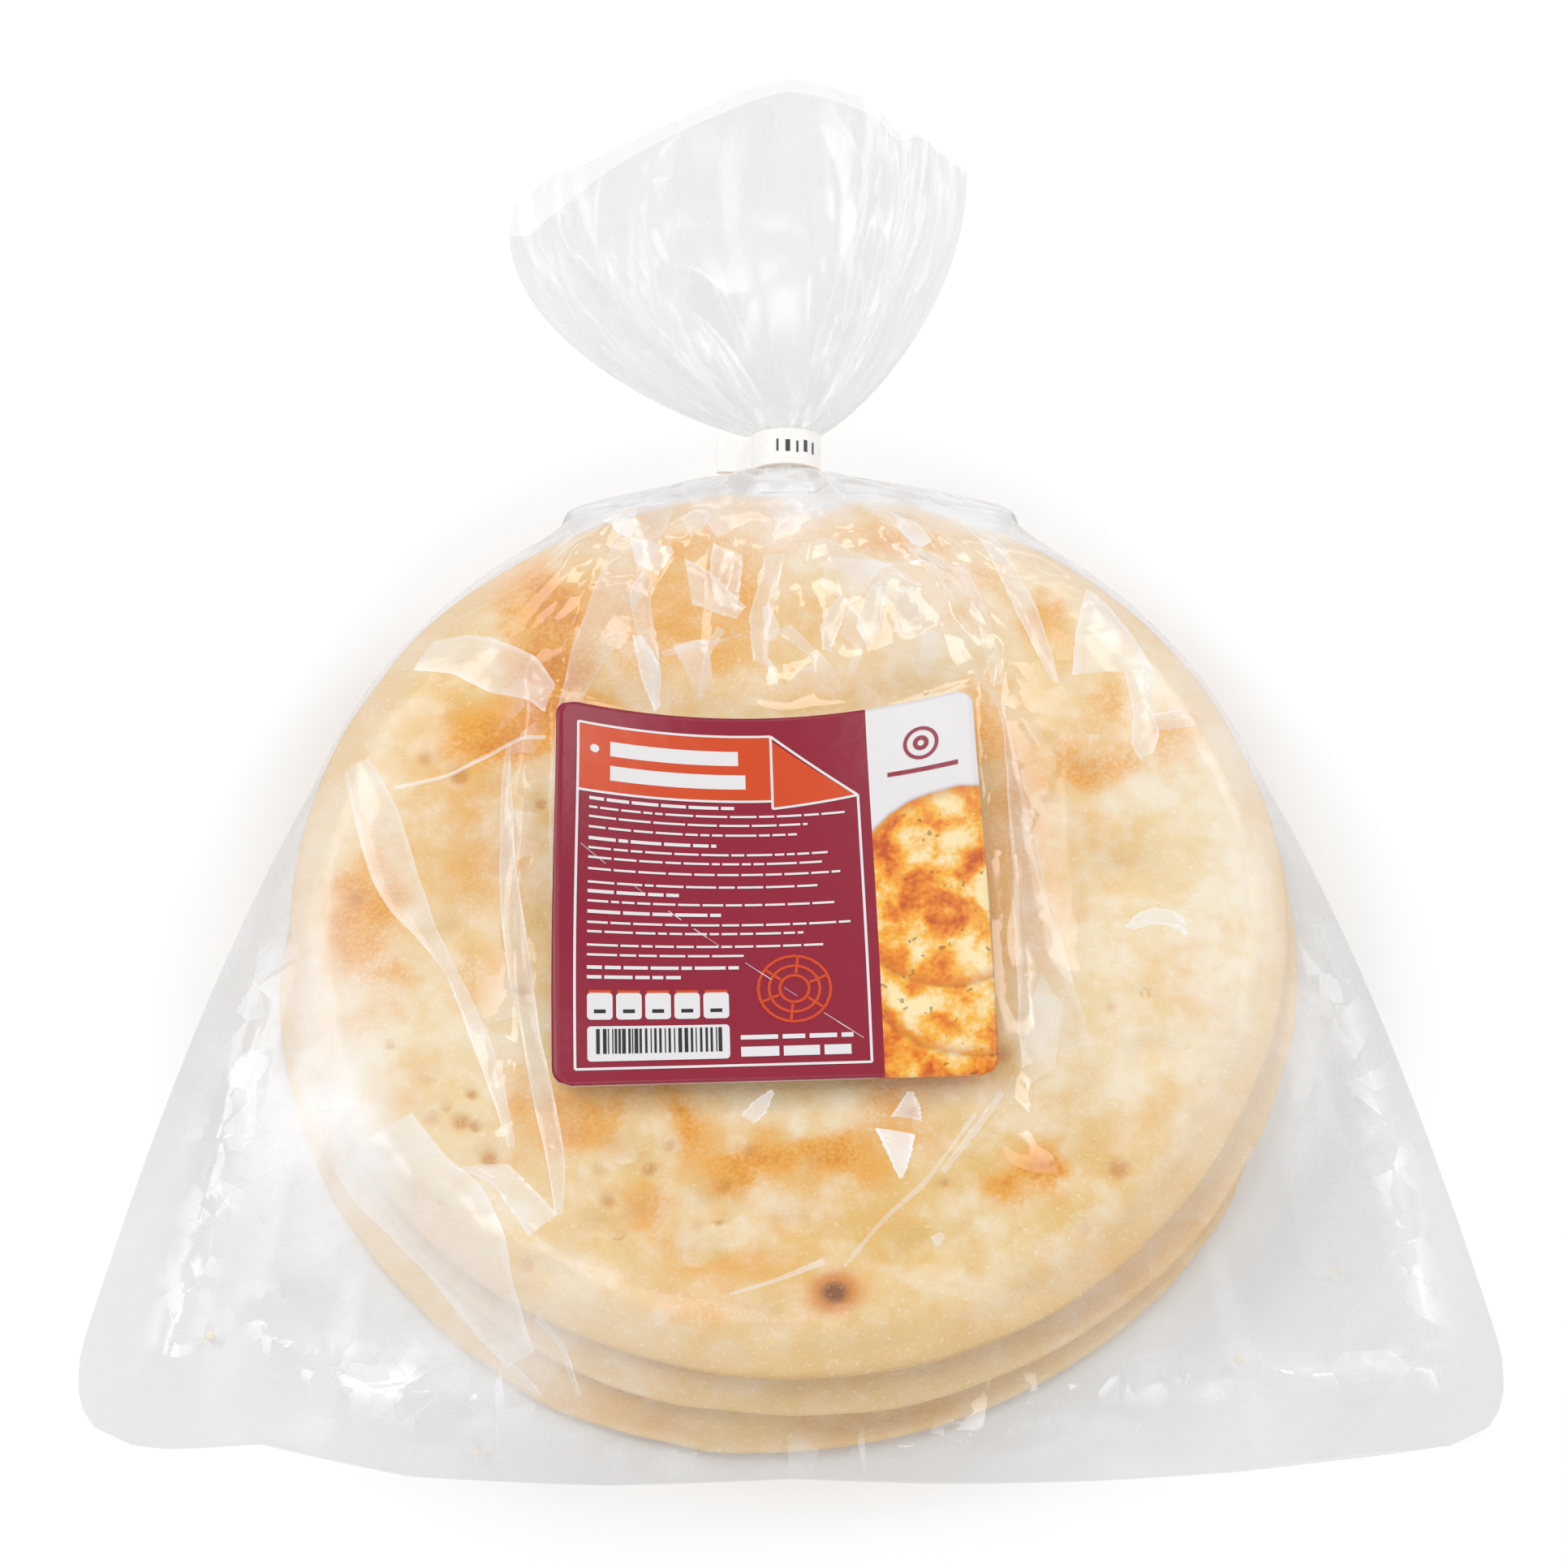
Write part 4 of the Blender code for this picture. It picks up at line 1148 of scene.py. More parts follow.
def addNeckGather(material):
    # pleats of film packed inside the clip
    turn = np.linspace(0.0, 2 * math.pi, neck["gatherAround"], endpoint=False)
    rows, points, faces = neck["gatherRows"], [], []
    for number, size in enumerate(neck["gather"]):
        fullness = size * (1.0 + 0.16 * np.cos((11 - 2 * number) * turn + number) + 0.05 * pleatWave(turn))
        for part in np.linspace(-1.0, 1.0, rows):
            flare = 1.0 + 0.5 * size * part**2
            flatten = 1.0 if part > 0 else 1.0 - 0.5 * part**2
            offX = neck["radiusX"] * np.cos(turn) * fullness * flare
            offZ = neck["radiusZ"] * np.sin(turn) * fullness * flare * flatten
            points.append(onNeckAxis(offX, offZ, part * neck["gatherReach"] * neck["halfLength"]))
        faces += gridFaces(rows, len(turn), closed=True, start=number * rows * len(turn))
    made = addMesh("filmGather", np.vstack(points), faces, [material],
                   attributes={"veil": neck["underVeil"], "crisp": 0.2, "bright": 0.6, "matte": 0.5})
    asFilm(made)


folds = {
    "rows": 44,
    "columns": 8,
    "lift": 0.00035,
    "arch": 0.0004,  # how much a strip bulges between its edges
    "crease": 0.0006,  # height of its small facets
    "facet": 0.0055,
    "sway": 0.00035,
    "crisp": 0.06,
    "bright": 0.5,
    "matte": 0.2,
    # flattened folds of film on the sheet: haze, then the two edges in millimetres
    "strips": (
        (0.20, ((-92.9, 29.1), (-90.9, 18.8), (-85.1, -0.7), (-73.8, -14.0), (-68.8, -20.6), (-65.9, -30.3),
                (-59.5, -46.4), (-55.9, -57.5)),
         ((-88.1, 31.7), (-82.4, 22.2), (-76.8, 5.2), (-72.1, -9.8), (-65.4, -23.0), (-59.8, -34.4),
          (-56.6, -46.4), (-54.7, -57.5))),
        (0.18, ((-58.3, 29.8), (-59.5, 22.0), (-59.1, 11.8), (-59.6, 3.3), (-58.5, -10.0), (-56.9, -23.2),
                (-54.1, -32.9), (-50.7, -49.7), (-47.9, -62.3), (-46.2, -72.0)),
         ((-57.9, 29.8), (-57.4, 22.0), (-56.6, 11.8), (-56.0, 5.0), (-54.7, -5.8), (-52.5, -16.6),
          (-50.8, -30.5), (-47.2, -46.5), (-43.9, -62.3), (-45.1, -72.0))),
        (0.24, ((-79.5, 53.5), (-71.0, 50.9), (-63.2, 44.7), (-53.9, 39.0), (-50.6, 36.0)),
         ((-75.6, 60.2), (-67.5, 60.2), (-59.0, 55.8), (-52.7, 49.6), (-48.7, 43.4))),
        (0.14, ((-29.9, 94.2), (-37.4, 75.8), (-43.1, 57.6), (-47.8, 41.8), (-49.3, 22.4), (-49.2, 5.3),
                (-47.7, -9.7)),
         ((-23.8, 94.2), (-28.8, 73.7), (-33.6, 55.7), (-42.2, 44.4), (-47.8, 24.4), (-48.1, 5.3),
          (-47.2, -9.7))),
        (0.30, ((-82.5, 24.1), (-70.9, 25.5), (-64.2, 28.6), (-57.4, 30.0), (-50.3, 30.6)),
         ((-81.7, 23.2), (-70.7, 24.6), (-64.0, 27.5), (-57.4, 29.1), (-50.3, 29.8))),
        (0.24, ((-66.5, -61.8), (-59.6, -64.5), (-55.1, -70.8), (-51.3, -76.5)),
         ((-55.8, -61.0), (-52.5, -64.5), (-48.8, -68.4), (-45.8, -71.9))),
        (0.24, ((-91.7, -58.8), (-86.6, -66.2), (-78.9, -73.9), (-71.3, -81.7), (-62.2, -92.4),
                (-55.7, -99.0)),
         ((-75.5, -49.7), (-68.0, -59.9), (-62.0, -64.0), (-56.5, -74.3), (-54.6, -84.4), (-50.3, -96.8))),
        (0.09, ((35.5, 50.6), (44.5, 34.9), (45.0, 19.4), (45.6, 1.4), (46.2, -21.8), (46.8, -40.4)),
         ((39.3, 46.6), (46.0, 34.9), (48.5, 21.3), (51.6, 2.3), (56.6, -17.2), (61.2, -35.0))),
        (0.22, ((36.4, 90.9), (41.5, 82.7), (44.8, 75.5), (47.9, 63.4), (51.9, 52.4), (55.2, 46.4)),
         ((38.2, 91.9), (45.0, 83.7), (49.1, 76.5), (52.3, 66.4), (54.8, 56.3), (56.9, 46.4))),
        (0.14, ((35.2, 75.9), (38.0, 62.8), (40.7, 50.8), (42.7, 41.9)),
         ((37.4, 75.9), (41.0, 62.8), (43.3, 52.8), (44.6, 42.4))),
        (0.26, ((63.7, 73.0), (61.2, 62.9), (60.2, 55.8), (59.7, 48.9)),
         ((65.1, 72.5), (70.2, 65.9), (74.6, 58.8), (77.4, 52.8))),
        (0.22, ((70.9, 51.6), (72.4, 41.9), (71.5, 34.1), (73.5, 30.2)),
         ((77.1, 52.8), (76.5, 41.9), (78.1, 38.0), (76.1, 32.1))),
        (0.18, ((76.5, 41.9), (81.7, 43.9), (83.4, 43.4)), ((76.8, 38.0), (83.2, 39.0), (86.0, 40.0))),
        (0.34, ((68.8, -8.9), (71.3, -5.7), (74.7, -4.2), (78.8, -4.5), (80.9, -6.1)),
         ((70.3, -9.4), (73.7, -8.1), (77.0, -8.0), (79.9, -9.2), (81.7, -11.2))),
        (0.50, ((17.3, -53.3), (19.9, -59.5), (21.9, -64.3)), ((25.1, -54.7), (24.2, -59.5), (22.7, -63.9))),
        (0.34, ((-33.0, 55.8), (-31.0, 47.5), (-28.0, 41.2)), ((-30.8, 55.8), (-26.8, 49.5), (-27.2, 42.6))),
        (0.26, ((-11.6, -88.7), (-2.0, -85.4), (6.7, -81.5)), ((-11.6, -89.2), (-2.0, -86.3), (7.0, -82.8))),
        (0.20, ((10.5, -83.1), (18.0, -73.2), (26.9, -64.5), (37.3, -49.6)),
         ((11.2, -83.6), (18.8, -73.7), (27.5, -65.3), (37.7, -50.1))),
        (0.30, ((-9.8, -50.4), (-7.0, -47.2), (-3.5, -44.6)), ((-7.0, -52.3), (-4.8, -50.1), (-3.0, -45.4))),
        (0.28, ((20.3, -50.7), (22.1, -47.9), (23.9, -45.1)), ((26.6, -51.8), (26.4, -48.7), (24.9, -45.1))),
        (0.20, ((30.2, -62.5), (37.2, -52.3), (42.4, -44.8)), ((30.9, -63.1), (38.2, -53.5), (43.3, -45.7))),
        (0.30, ((27.9, -76.9), (29.0, -76.1), (30.1, -75.7)), ((28.9, -78.8), (29.9, -78.0), (30.8, -76.7))),
        (0.18, ((-66.3, -88.7), (-57.4, -96.6), (-49.8, -104.5)),
         ((-65.6, -88.2), (-56.4, -96.1), (-48.8, -103.7))),
        (0.18, ((-50.2, -91.4), (-45.1, -96.6), (-41.9, -104.5)),
         ((-49.4, -90.8), (-44.1, -96.1), (-41.2, -104.0))),
        (0.23, ((-20.3, 64.0), (-14.5, 62.9), (-11.0, 62.0)), ((-22.3, 75.1), (-14.5, 71.4), (-9.2, 65.3))),
        (0.22, ((-15.4, 65.3), (-16.9, 73.4), (-16.0, 80.2)), ((-11.0, 63.7), (-10.1, 72.1), (-9.9, 78.9))),
        (0.20, ((-7.5, 52.6), (-8.4, 62.6), (-6.7, 70.7), (-5.3, 79.2)),
         ((-4.6, 51.9), (-4.1, 61.3), (-2.3, 70.0), (-0.7, 80.0))),
        (0.22, ((7.1, 54.6), (6.7, 59.9), (7.9, 63.7), (10.7, 66.7)),
         ((8.7, 53.8), (10.6, 58.6), (12.2, 61.8), (14.3, 63.7))),
        (0.18, ((5.4, 52.6), (0.3, 57.3), (-3.2, 59.9)), ((6.2, 53.8), (2.6, 58.6), (0.3, 61.0))),
        (0.22, ((16.3, 54.3), (14.1, 58.6), (15.5, 63.7), (17.6, 67.3)),
         ((18.6, 54.6), (19.6, 58.6), (20.1, 63.7), (19.2, 67.2))),
        (0.18, ((23.2, 54.6), (22.1, 59.9), (23.3, 64.6)), ((28.0, 54.6), (27.6, 59.1), (25.9, 63.7))),
        (0.20, ((-32.5, 58.6), (-33.7, 63.7), (-31.2, 70.2), (-29.8, 70.2)),
         ((-28.3, 42.7), (-27.0, 51.9), (-29.2, 62.6), (-28.6, 68.0))),
        (0.18, ((-27.0, 52.6), (-19.3, 55.7), (-10.8, 57.8)), ((-26.3, 51.7), (-19.0, 54.1), (-8.9, 59.1))),
        (0.18, ((-23.1, 87.1), (-20.5, 91.0), (-17.8, 91.5)), ((-20.9, 81.3), (-17.9, 85.7), (-16.8, 89.9))),
        (0.16, ((-3.2, 89.0), (-2.5, 92.6), (1.2, 93.5)), ((-2.7, 84.6), (0.1, 87.7), (1.7, 91.3))),
        (0.14, ((5.5, 83.0), (11.9, 72.1), (22.1, 61.3)), ((7.3, 83.5), (18.8, 73.4), (27.9, 63.7))),
        (0.16, ((21.3, 91.3), (25.0, 81.6), (28.3, 73.4)), ((22.7, 91.3), (27.0, 81.6), (30.4, 74.2))),
        (0.18, ((-19.2, 45.3), (-17.5, 54.6), (-15.2, 59.9)), ((-18.0, 45.3), (-16.3, 53.8), (-13.5, 59.1))),
    ),
}


def smoothLine(points, count):
    # evenly spread places on a gently rounded line through the points
    points = np.asarray(points) / 1000.0
    stops = np.concatenate([[0.0], np.cumsum(np.hypot(*np.diff(points, axis=0).T))])
    stops = stops / stops[-1]
    at = np.linspace(0.0, 1.0, count)
    line = np.stack([np.interp(at, stops, points[:, 0]), np.interp(at, stops, points[:, 1])], axis=-1)
    for _ in range(6):
        line[1:-1] = (line[:-2] + 2 * line[1:-1] + line[2:]) / 4
    return line


def addFilmFolds(material, sheet):
    points, faces, veils = [], [], []
    rows, columns = folds["rows"], folds["columns"]
    across = np.linspace(0.0, 1.0, columns)
    for number, (haze, first, second) in enumerate(folds["strips"]):
        random = np.random.default_rng(700 + number)
        left, right = smoothLine(first, rows), smoothLine(second, rows)
        sway = softNoise(np.arange(rows) * 0.02, np.full(rows, 0.5), 0.05, 710 + number)
        sway = folds["sway"] * (sway - 0.5)
        left[:, 0] += sway
        right[:, 0] -= sway
        x = left[:, :1] * (1 - across) + right[:, :1] * across
        y = left[:, 1:] * (1 - across) + right[:, 1:] * across
        wide = np.hypot(*(right - left).T)[:, None]
        arch = np.minimum(folds["arch"], 0.05 * wide) * 4 * across * (1 - across)
        crease = folds["crease"] * np.minimum(wide / 0.006, 1.0) * np.minimum(1, 6 * across * (1 - across))
        height = filmAt(sheet, x, y) + folds["lift"] + arch
        height += crease * facetField(x, y, folds["facet"], 720 + number)
        start = sum(len(p) for p in points)
        points.append(np.stack([x, y, height], axis=-1).reshape(-1, 3))
        faces += gridFaces(rows, columns, start=start)
        # painted highlight: the haze is stronger along both edges of each strip, where the folded film would
        # catch the light
        lines = np.exp(-((np.minimum(across, 1 - across) / 0.08) ** 2)) * random.uniform(0.4, 0.8)
        veils.append(np.repeat((1.7 * haze * (0.75 + lines))[None, :], rows, axis=0).ravel())
    made = addMesh("filmFolds", np.vstack(points), faces, [material],
                   attributes={"veil": np.concatenate(veils), "crisp": folds["crisp"],
                               "bright": folds["bright"], "matte": folds["matte"]})
    asFilm(made)


# label: a paper sheet and its print, as fields of colour and simple shapes

printing = {
    "maroon": linear(141, 18, 47),
    "orange": linear(206, 70, 20),
    "white": linear(224, 221, 222),
    "ink": linear(36, 30, 34),
    "step": 0.0030,  # longest stretch of a printed shape between two points, so that it follows the paper
    "column": 0.0220,  # where the white column starts
    "gloss": {"maroon": 0.30, "white": 0.34, "orange": 0.30, "ink": 0.36},
    # how far each ink stands over the paper
    "lifts": {"labelFields": 0.00008, "labelLines": 0.00011, "labelBars": 0.00015, "labelMark": 0.00008},
    "discs": (((40.0, -27.0), 27.0), ((37.0, -15.0), 22.5), ((33.5, -1.0), 21.5)),
    "frame": (-0.0403, 0.0036, 0.0195, 0.0795),  # left, low, right, high
    "frameLine": 0.00055,
    "title": (0.0640, 0.0012),  # the coloured field's lower edge and right edge
    "flapLow": 0.0622,  # lowest point of the turned corner beside it
    "flap": ((0.0016, 0.0622), (0.0192, 0.0640), (0.0110, 0.0705), (0.0012, 0.0785)),
    # thick bars on the title field: how far from the foot, height, right end
    "titleBars": ((0.0742, 0.0034, -0.0060), (0.0686, 0.0034, -0.0045)),
    "titleBarLeft": -0.0335,
    "dot": (-0.0368, 0.0738, 0.0005, 0.0009),
    "textLeft": -0.0378,
    "textHeight": (0.00050, 0.00075),  # of plain bars and of bold ones
    "textGap": 0.00055,
    "textEnds": ((0.004, 0.0165), (-0.022, -0.006)),  # where a row ends, plain and bold
    "textWords": (0.0016, 0.0068),  # shortest and longest bar
    "cells": (5, 0.00590),  # small boxes in a row: how many and step
    "cellBox": (0.0, 0.0142, 0.0052, 0.0200),  # left, low, right, high of each, then of what is in it
    "cellTab": (0.0003, 0.0178, 0.0049, 0.0206),
    "cellMark": (0.0014, 0.0156, 0.0038, 0.0164),
    "codeBars": (0.00025, 0.0005, 0.00075),
    "codeGaps": (0.00025, 0.0005, 0.00062),
    "code": (-0.0360, -0.0108, 0.0068, 0.0122),  # striped field: left, right, low, high
    "codeBox": (-0.0378, 0.0052, -0.0090, 0.0128),
    "boxCorner": 0.0008,
    # bars beside the striped field: how far from the foot, height, right end
    "footBars": ((0.0098, 0.0010, 0.0160), (0.0066, 0.0022, 0.0162)),
    "footLeft": -0.0068,
    "footWords": (0.0030, 0.0080),
    "footGap": 0.0009,
    "crease": ((-0.0420, 0.0540), (0.0180, 0.0090)),  # a worn crease in the print, from end to end
    "creaseLines": (0.00008, 0.00012, 0.00018),
    "wheel": (0.0044, 0.0205),  # middle of the drawn rings and spokes
    "wheelRings": (0.0030, 0.0052, 0.0074),
    "wheelSpokes": (6, 0.4, 0.0034, 0.0070),  # how many, turn of the first, inner and outer end
    "wheelLine": 0.0006,
    "markPlace": (0.0335, 0.0738),
    "markRings": ((0.0034, 0.0008), (0.0012, 0.0010)),  # radius and line
    "markBar": (0.0260, 0.0672, 0.0410, 0.0682),
    # how far each row of bars lies from the foot, in millimetres; bold ones are negative
    "rows": (
        -62.4, 60.4, 58.3, 56.0, -53.5, 51.4, 49.3, 46.8, 43.9, -41.9, 39.8, -37.5, 35.2, 33.2, 30.3,
        28.2, -25.5, -23.4,
    ),
}


def plainMaterial(name, colour, roughness):
    paint = Paint(name)
    fine = paint.noise(0.5, 3.0)
    shade = paint.blend(fine * 0.06, colour, tuple(0.82 * c for c in colour))
    inputs = {"Base Color": shade, "Roughness": roughness + 0.08 * fine, "Specular IOR Level": 0.5,
              "Normal": paint.bump(paint.noise(6.0, 2.0), 0.0004, 0.5)}
    return paint.finish(paint.node("ShaderNodeBsdfPrincipled", {}, inputs))


def columnMaterial():
    # white paper with three round baked shapes that overlap
    paint = Paint("labelColumn")
    flat = paint.place((1.0, 1.0, 0.0))
    field, fine = paint.noise(7.5, 3.0, 0.5, 0.3), paint.noise(1.1, 3.0, 0.6)
    stops = ((0.30, linear(196, 84, 20)), (0.41, linear(231, 134, 34)), (0.51, linear(240, 178, 64)),
             (0.64, linear(243, 222, 170)))
    baked = paint.node("ShaderNodeValToRGB", {"stops": stops}, {0: field + 0.25 * (fine - 0.5)}, "Color")
    baked = paint.blend(paint.ramp(paint.noise(1.9, 1.0), 0.68, 0.73) * 0.6, baked, linear(112, 84, 30))
    colour = paint.blend(fine * 0.06, printing["white"], tuple(0.82 * c for c in printing["white"]))
    for centre, radius in printing["discs"]:
        inputs = {0: flat, 1: (*centre, 0.0)}
        away = paint.node("ShaderNodeVectorMath", {"operation": "DISTANCE"}, inputs, "Value")
        away = away + 1.2 * (field - 0.5)
        colour = paint.blend(paint.ramp(radius + 0.9 - away, 0.0, 1.6) * 0.55, colour, linear(120, 60, 30))
        edge = paint.blend(paint.ramp(away, radius - 3.0, radius) * 0.6, baked, linear(204, 110, 36))
        colour = paint.blend(paint.ramp(radius - away, 0.0, 0.35), colour, edge)
    inputs = {"Base Color": colour, "Roughness": 0.33 + 0.06 * fine,
              "Normal": paint.bump(paint.noise(6.0, 2.0), 0.0004, 0.5)}
    return paint.finish(paint.node("ShaderNodeBsdfPrincipled", {}, inputs))


class Print:
    # gathers flat shapes of one ink and lays them on the label

    def __init__(self, name, material):
        self.name, self.material, self.lift = name, material, printing["lifts"][name]
        self.points, self.faces = [], []

    def patch(self, corners):
        # a four-sided shape: its corners in order, as (u, v) in metres
        (au, av), (bu, bv), (cu, cv), (du, dv) = corners
        wide = max(math.hypot(bu - au, bv - av), math.hypot(cu - du, cv - dv))
        tall = max(math.hypot(du - au, dv - av), math.hypot(cu - bu, cv - bv))
        columns = max(1, math.ceil(wide / printing["step"])) + 1
        rows = max(1, math.ceil(tall / (2 * printing["step"]))) + 1
        s, t = np.meshgrid(np.linspace(0, 1, columns), np.linspace(0, 1, rows))
        u = (au * (1 - s) + bu * s) * (1 - t) + (du * (1 - s) + cu * s) * t
        v = (av * (1 - s) + bv * s) * (1 - t) + (dv * (1 - s) + cv * s) * t
        start = sum(len(p) for p in self.points)
        self.points.append(labelPoint(u, v, self.lift).reshape(-1, 3))
        self.faces += gridFaces(rows, columns, start=start)

    def box(self, left, low, right, high):
        self.patch(((left, low), (right, low), (right, high), (left, high)))

    def line(self, start, end, width):
        (au, av), (bu, bv) = start, end
        length = math.hypot(bu - au, bv - av)
        offU, offV = -(bv - av) / length * width / 2, (bu - au) / length * width / 2
        self.patch(((au - offU, av - offV), (bu - offU, bv - offV),
                    (bu + offU, bv + offV), (au + offU, av + offV)))

    def ring(self, u, v, radius, width):
        turns, inner, outer = np.linspace(0.0, 2 * math.pi, 25), radius - width / 2, radius + width / 2
        for here, after in zip(turns[:-1], turns[1:]):
            self.patch([(u + r * math.cos(a), v + r * math.sin(a))
                        for a, r in ((here, inner), (here, outer), (after, outer), (after, inner))])

    def words(self, left, until, v, size, lengths, gap, random, spare=0.0):
        # bars of random lengths in a row
        while left < until:
            word = min(random.uniform(*lengths), until - left + spare)
            self.box(left, v - size / 2, left + word, v + size / 2)
            left += word + gap

    def roundBox(self, left, low, right, high, corner):
        turns = np.linspace(0.0, math.pi / 2, 5)
        for here, after in zip(turns[:-1], turns[1:]):
            insetA, upA = corner * (1 - math.sin(here)), corner * (1 - math.cos(here))
            insetB, upB = corner * (1 - math.sin(after)), corner * (1 - math.cos(after))
            self.patch(((left + insetA, low + upA), (right - insetA, low + upA),
                        (right - insetB, low + upB), (left + insetB, low + upB)))
            self.patch(((left + insetB, high - upB), (right - insetB, high - upB),
                        (right - insetA, high - upA), (left + insetA, high - upA)))
        self.box(left, low + corner, right, high - corner)

    def make(self):
        made = addMesh(self.name, np.vstack(self.points), self.faces, [self.material])
        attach(made, "root")
        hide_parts("label")


def addLabelSheet(maroon, column):
    split, splitRight, rows = label["grid"]
    spread = np.linspace(0.0, 1.0, rows)
    along = 0.5 - 0.5 * (0.35 * np.cos(math.pi * spread) + 0.65 * (1 - 2 * spread))
    nearEnd = np.minimum(along, 1.0 - along) * label["length"]
    inside = np.clip(nearEnd / label["corner"], 0.0, 1.0)
    cut = label["corner"] * (1.0 - np.sqrt(1.0 - (1.0 - inside) ** 2))
    half = label["width"] / 2 - cut[:, None]
    left = -half + (printing["column"] + half) * np.linspace(0.0, 1.0, split + 1)
    right = printing["column"] + (half - printing["column"]) * np.linspace(0.0, 1.0, splitRight + 1)[1:]
    u = np.hstack([left, right])
    columns = u.shape[1]
    v = np.repeat(along[:, None] * label["length"], columns, axis=1)
    top, under = labelPoint(u, v, 0.0), labelPoint(u, v, -label["paper"])
    points = np.concatenate([top.reshape(-1, 3), under.reshape(-1, 3)])
    faces = gridFaces(rows, columns)
    count = rows * columns
    kinds = [int(place >= split) for _ in range(rows - 1) for place in range(columns - 1)]
    faces += gridFaces(rows, columns, start=count, flip=True)
    border = [(0, c) for c in range(columns - 1)] + [(r, columns - 1) for r in range(rows - 1)]
    border += [(rows - 1, c) for c in range(columns - 1, 0, -1)] + [(r, 0) for r in range(rows - 1, 0, -1)]
    for (rowA, colA), (rowB, colB) in zip(border, border[1:] + border[:1]):
        a, b = rowA * columns + colA, rowB * columns + colB
        faces.append((b, a, a + count, b + count))
    kinds += [1] * (len(faces) - len(kinds))
    made = addMesh("labelSheet", points, faces, [maroon, column], kinds)
    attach(made, "root")
    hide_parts("label")


def addLabel():
    inks = {name: plainMaterial("label" + name.capitalize(), printing[name], gloss)
            for name, gloss in printing["gloss"].items()}
    addLabelSheet(inks["maroon"], columnMaterial())
    random = np.random.default_rng(9)
    left, low, right, high = printing["frame"]
    titleLow, titleRight = printing["title"]
    flapLow, textLeft, corner = printing["flapLow"], printing["textLeft"], printing["boxCorner"]
    count, step = printing["cells"]
    cells = [textLeft + step * place for place in range(count)]

    def inCell(u, name):
        boxLeft, boxLow, boxRight, boxHigh = printing[name]
        return u + boxLeft, boxLow, u + boxRight, boxHigh

    fields = Print("labelFields", inks["orange"])
    fields.box(left, titleLow, titleRight, high)
    fields.patch(printing["flap"])

    lines = Print("labelLines", inks["white"])
    edges = (((left, low), (right, low)), ((right, low), (right, titleLow)), ((left, low), (left, high)),
             ((left, high), (titleRight, high)), ((left, titleLow), (titleRight, titleLow)),
             ((titleRight, flapLow), (titleRight, high)), ((titleRight, high), (right, titleLow)),
             ((titleRight, flapLow), (right, titleLow)))
    for start, end in edges:
        lines.line(start, end, printing["frameLine"])
    for v, size, until in printing["titleBars"]:
        lines.box(printing["titleBarLeft"], v - size / 2, until, v + size / 2)
    lines.ring(*printing["dot"])
    for row in printing["rows"]:
        bold, v = row < 0, abs(row) / 1000
        until = random.uniform(*printing["textEnds"][bold])
        until = min(until, -0.006) if v < 0.030 else until  # the drawn rings stand beside these rows
        size = printing["textHeight"][bold]
        lines.words(textLeft, until, v, size, printing["textWords"], printing["textGap"], random, 0.001)
    for u in cells:
        lines.roundBox(*inCell(u, "cellBox"), corner)
    lines.roundBox(*printing["codeBox"], corner)
    for v, size, until in printing["footBars"]:
        lines.words(printing["footLeft"], until, v, size, printing["footWords"], printing["footGap"], random)
    (creaseU, creaseV), (endU, endV) = printing["crease"]
    crease = np.linspace(0.0, 1.0, 24)
    places = list(zip(creaseU + (endU - creaseU) * crease, creaseV + (endV - creaseV) * crease))
    for start, end in zip(places[:-1], places[1:]):
        if random.random() < 0.7:
            lines.line(start, end, random.choice(printing["creaseLines"]))
    lines.make()

    for u in cells:
        fields.box(*inCell(u, "cellTab"))
    wheelU, wheelV = printing["wheel"]
    for radius in printing["wheelRings"]:
        fields.ring(wheelU, wheelV, radius, printing["wheelLine"])
    spokes, first, inner, outer = printing["wheelSpokes"]
    for spoke in range(spokes):
        turn = spoke * 2 * math.pi / spokes + first
        start, end = ((wheelU + reach * math.cos(turn), wheelV + reach * math.sin(turn))
                      for reach in (inner, outer))
        fields.line(start, end, printing["wheelLine"])
    fields.make()

    bars = Print("labelBars", inks["ink"])
    u, until, codeLow, codeHigh = printing["code"]
    while u < until:
        width = random.choice(printing["codeBars"])
        bars.box(u, codeLow, u + width, codeHigh)
        u += width + random.choice(printing["codeGaps"])
    for u in cells:
        bars.box(*inCell(u, "cellMark"))
    bars.make()

    mark = Print("labelMark", inks["maroon"])
    for radius, line in printing["markRings"]:
        mark.ring(*printing["markPlace"], radius, line)
    mark.box(*printing["markBar"])
    mark.make()


# clip: the closed strip keeps its solid and gets its finish and a row of ink strokes

clip = {
    "light": linear(250, 249, 245),
    "shade": linear(238, 237, 232),
    "ink": linear(62, 60, 62),
    "strokeLift": 0.00155,  # from the film's neck to the ink
    # ink strokes: where they start around the neck, how far they go, lower and upper end along it
    "strokes": ((1.84, 0.06, -0.0012, 0.0016), (1.58, 0.13, -0.0013, 0.0014), (1.27, 0.06, -0.0014, 0.0012),
                (1.04, 0.12, -0.0011, 0.0016), (0.74, 0.07, -0.0013, 0.0014)),
}


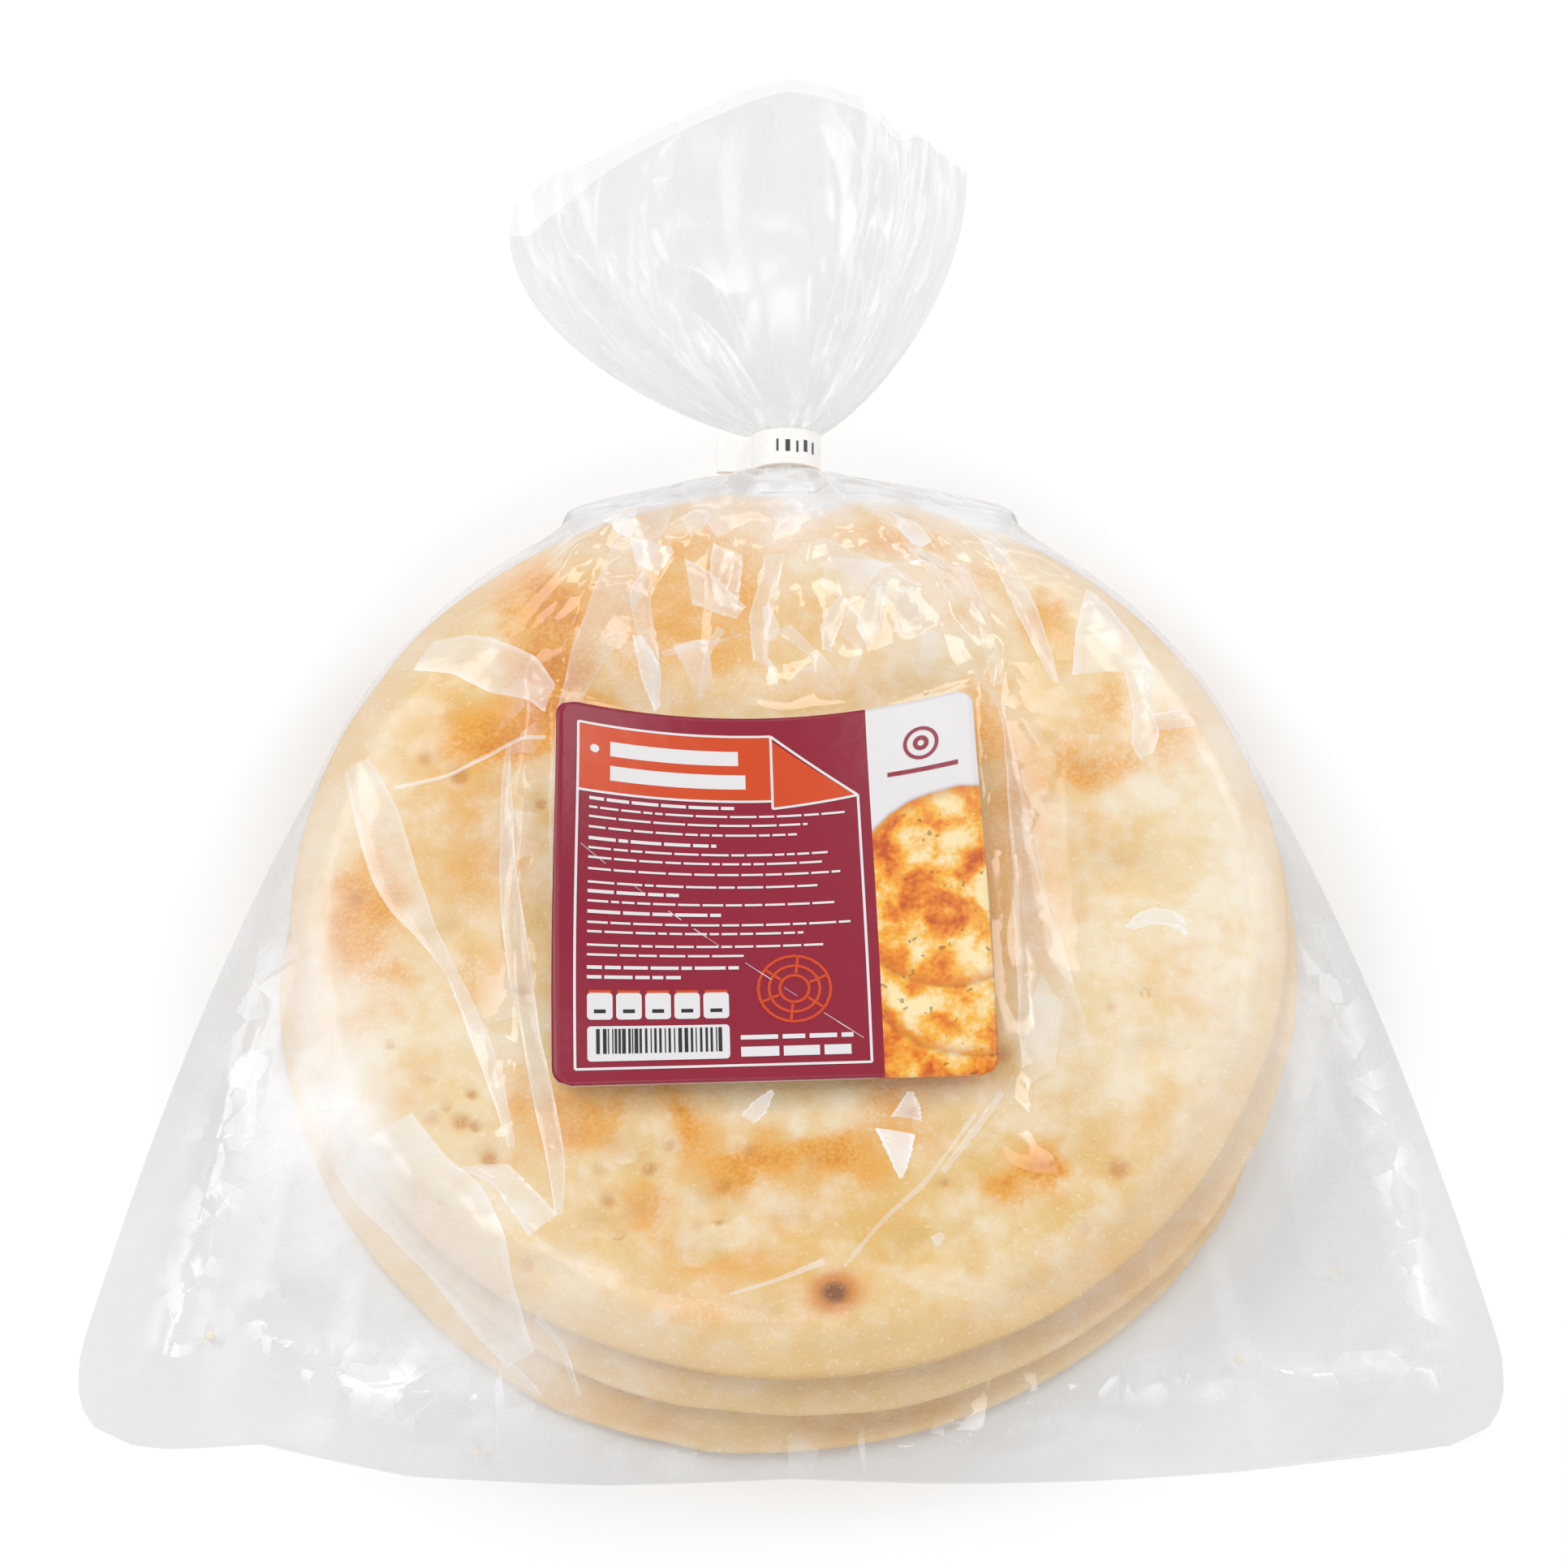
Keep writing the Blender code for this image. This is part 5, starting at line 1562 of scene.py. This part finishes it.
def addClip():
    paint = Paint("clipPlastic")
    fine = paint.noise(1.4, 3.0)
    colour = paint.blend(fine, clip["light"], clip["shade"])
    inputs = {"Base Color": colour, "Roughness": 0.42 + 0.1 * fine, "Subsurface Weight": 0.15,
              "Subsurface Scale": 0.002, "Normal": paint.bump(fine, 0.0002, 0.5)}
    material = paint.finish(paint.node("ShaderNodeBsdfPrincipled", {}, inputs))
    for piece in bpy.data.objects:
        if piece.name == "clip":
            for slot in piece.material_slots:
                slot.material = material
    ink = plainMaterial("clipInk", clip["ink"], 0.5)
    points, faces = [], []
    radiusX, radiusZ = neck["radiusX"] + clip["strokeLift"], neck["radiusZ"] + clip["strokeLift"]
    for number, (start, wide, low, high) in enumerate(clip["strokes"]):
        turn, place = np.meshgrid(np.linspace(start, start - wide, 3), (low, high))
        at = onNeckAxis(radiusX * np.cos(turn), radiusZ * np.sin(turn), place)
        faces += gridFaces(2, 3, start=6 * number)
        points.append(at.reshape(-1, 3))
    made = addMesh("clipStrokes", np.vstack(points), faces, [ink])
    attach(made, "root")


# crumbs and flecks inside the bag

crumbs = {
    # x, y, z and size
    "places": ((-0.1170, -0.0860, 0.0012, 0.0011), (0.0240, 0.0900, 0.0284, 0.0007),
               (0.0290, 0.0480, 0.0292, 0.0006), (0.0905, -0.0910, 0.0012, 0.0008),
               (-0.0620, -0.1105, 0.0012, 0.0007), (0.1120, -0.0720, 0.0012, 0.0006)),
    "around": 10,
    "rows": 6,
    "tip": 0.15,  # where the flat ends start, as an angle from the pole
    "flatness": 0.7,
}


def addCrumbs(material):
    points, faces = [], []
    around, rows, tip = crumbs["around"], crumbs["rows"], crumbs["tip"]
    turn = np.linspace(0, 2 * math.pi, around, endpoint=False)
    turn, up = np.meshgrid(turn, np.linspace(tip, math.pi - tip, rows))
    for number, (x, y, z, size) in enumerate(crumbs["places"]):
        start = number * rows * around
        end = start + rows * around
        lump = size * (0.75 + 0.5 * softNoise(np.cos(turn) * 2 + number, np.cos(up) * 2, 0.7, 90))
        across = lump * np.sin(up)
        height = z + lump * np.cos(up) * crumbs["flatness"]
        at = np.stack([x + across * np.cos(turn), y + across * np.sin(turn), height], axis=-1)
        points.append(at.reshape(-1, 3))
        faces += gridFaces(rows, around, closed=True, start=start, flip=True)
        faces.append(tuple(range(start, start + around)))
        faces.append(tuple(range(end - 1, end - 1 - around, -1)))
    made = addMesh("crumbs", np.vstack(points), faces, [material])
    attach(made, "root")
    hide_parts("bag")


def addFloor():
    paint = Paint("paleFloor")
    inputs = {"Base Color": (*studio["floorColour"], 1.0), "Roughness": 0.9, "Specular IOR Level": 0.1}
    material = paint.finish(paint.node("ShaderNodeBsdfPrincipled", {}, inputs))
    level, reach = studio["floorLevel"], studio["floorReach"]
    corners = [(-reach, -reach, level), (reach, -reach, level), (reach, reach, level), (-reach, reach, level)]
    floor = addMesh("floor", corners, [(0, 1, 2, 3)], [material], smooth=False)


addFloor()
baked = breadMaterial()
for breadLevel in range(len(stack["breads"])):
    addBread(breadLevel, baked)
print("breads made")
filmClear = filmMaterial("clearFilm")
filmFan = filmMaterial("fanFilm")
filmLow = filmMaterial("lowFilm")
topSheet = addFilmTop(filmClear)
addFilmUnder(filmLow)
addFilmFolds(filmClear, topSheet)
addFilmTuft(filmFan)
addNeckGather(filmClear)
print("film draped")
addLabel()
print("label printed")
addClip()
addCrumbs(baked)
print("clip and crumbs made")
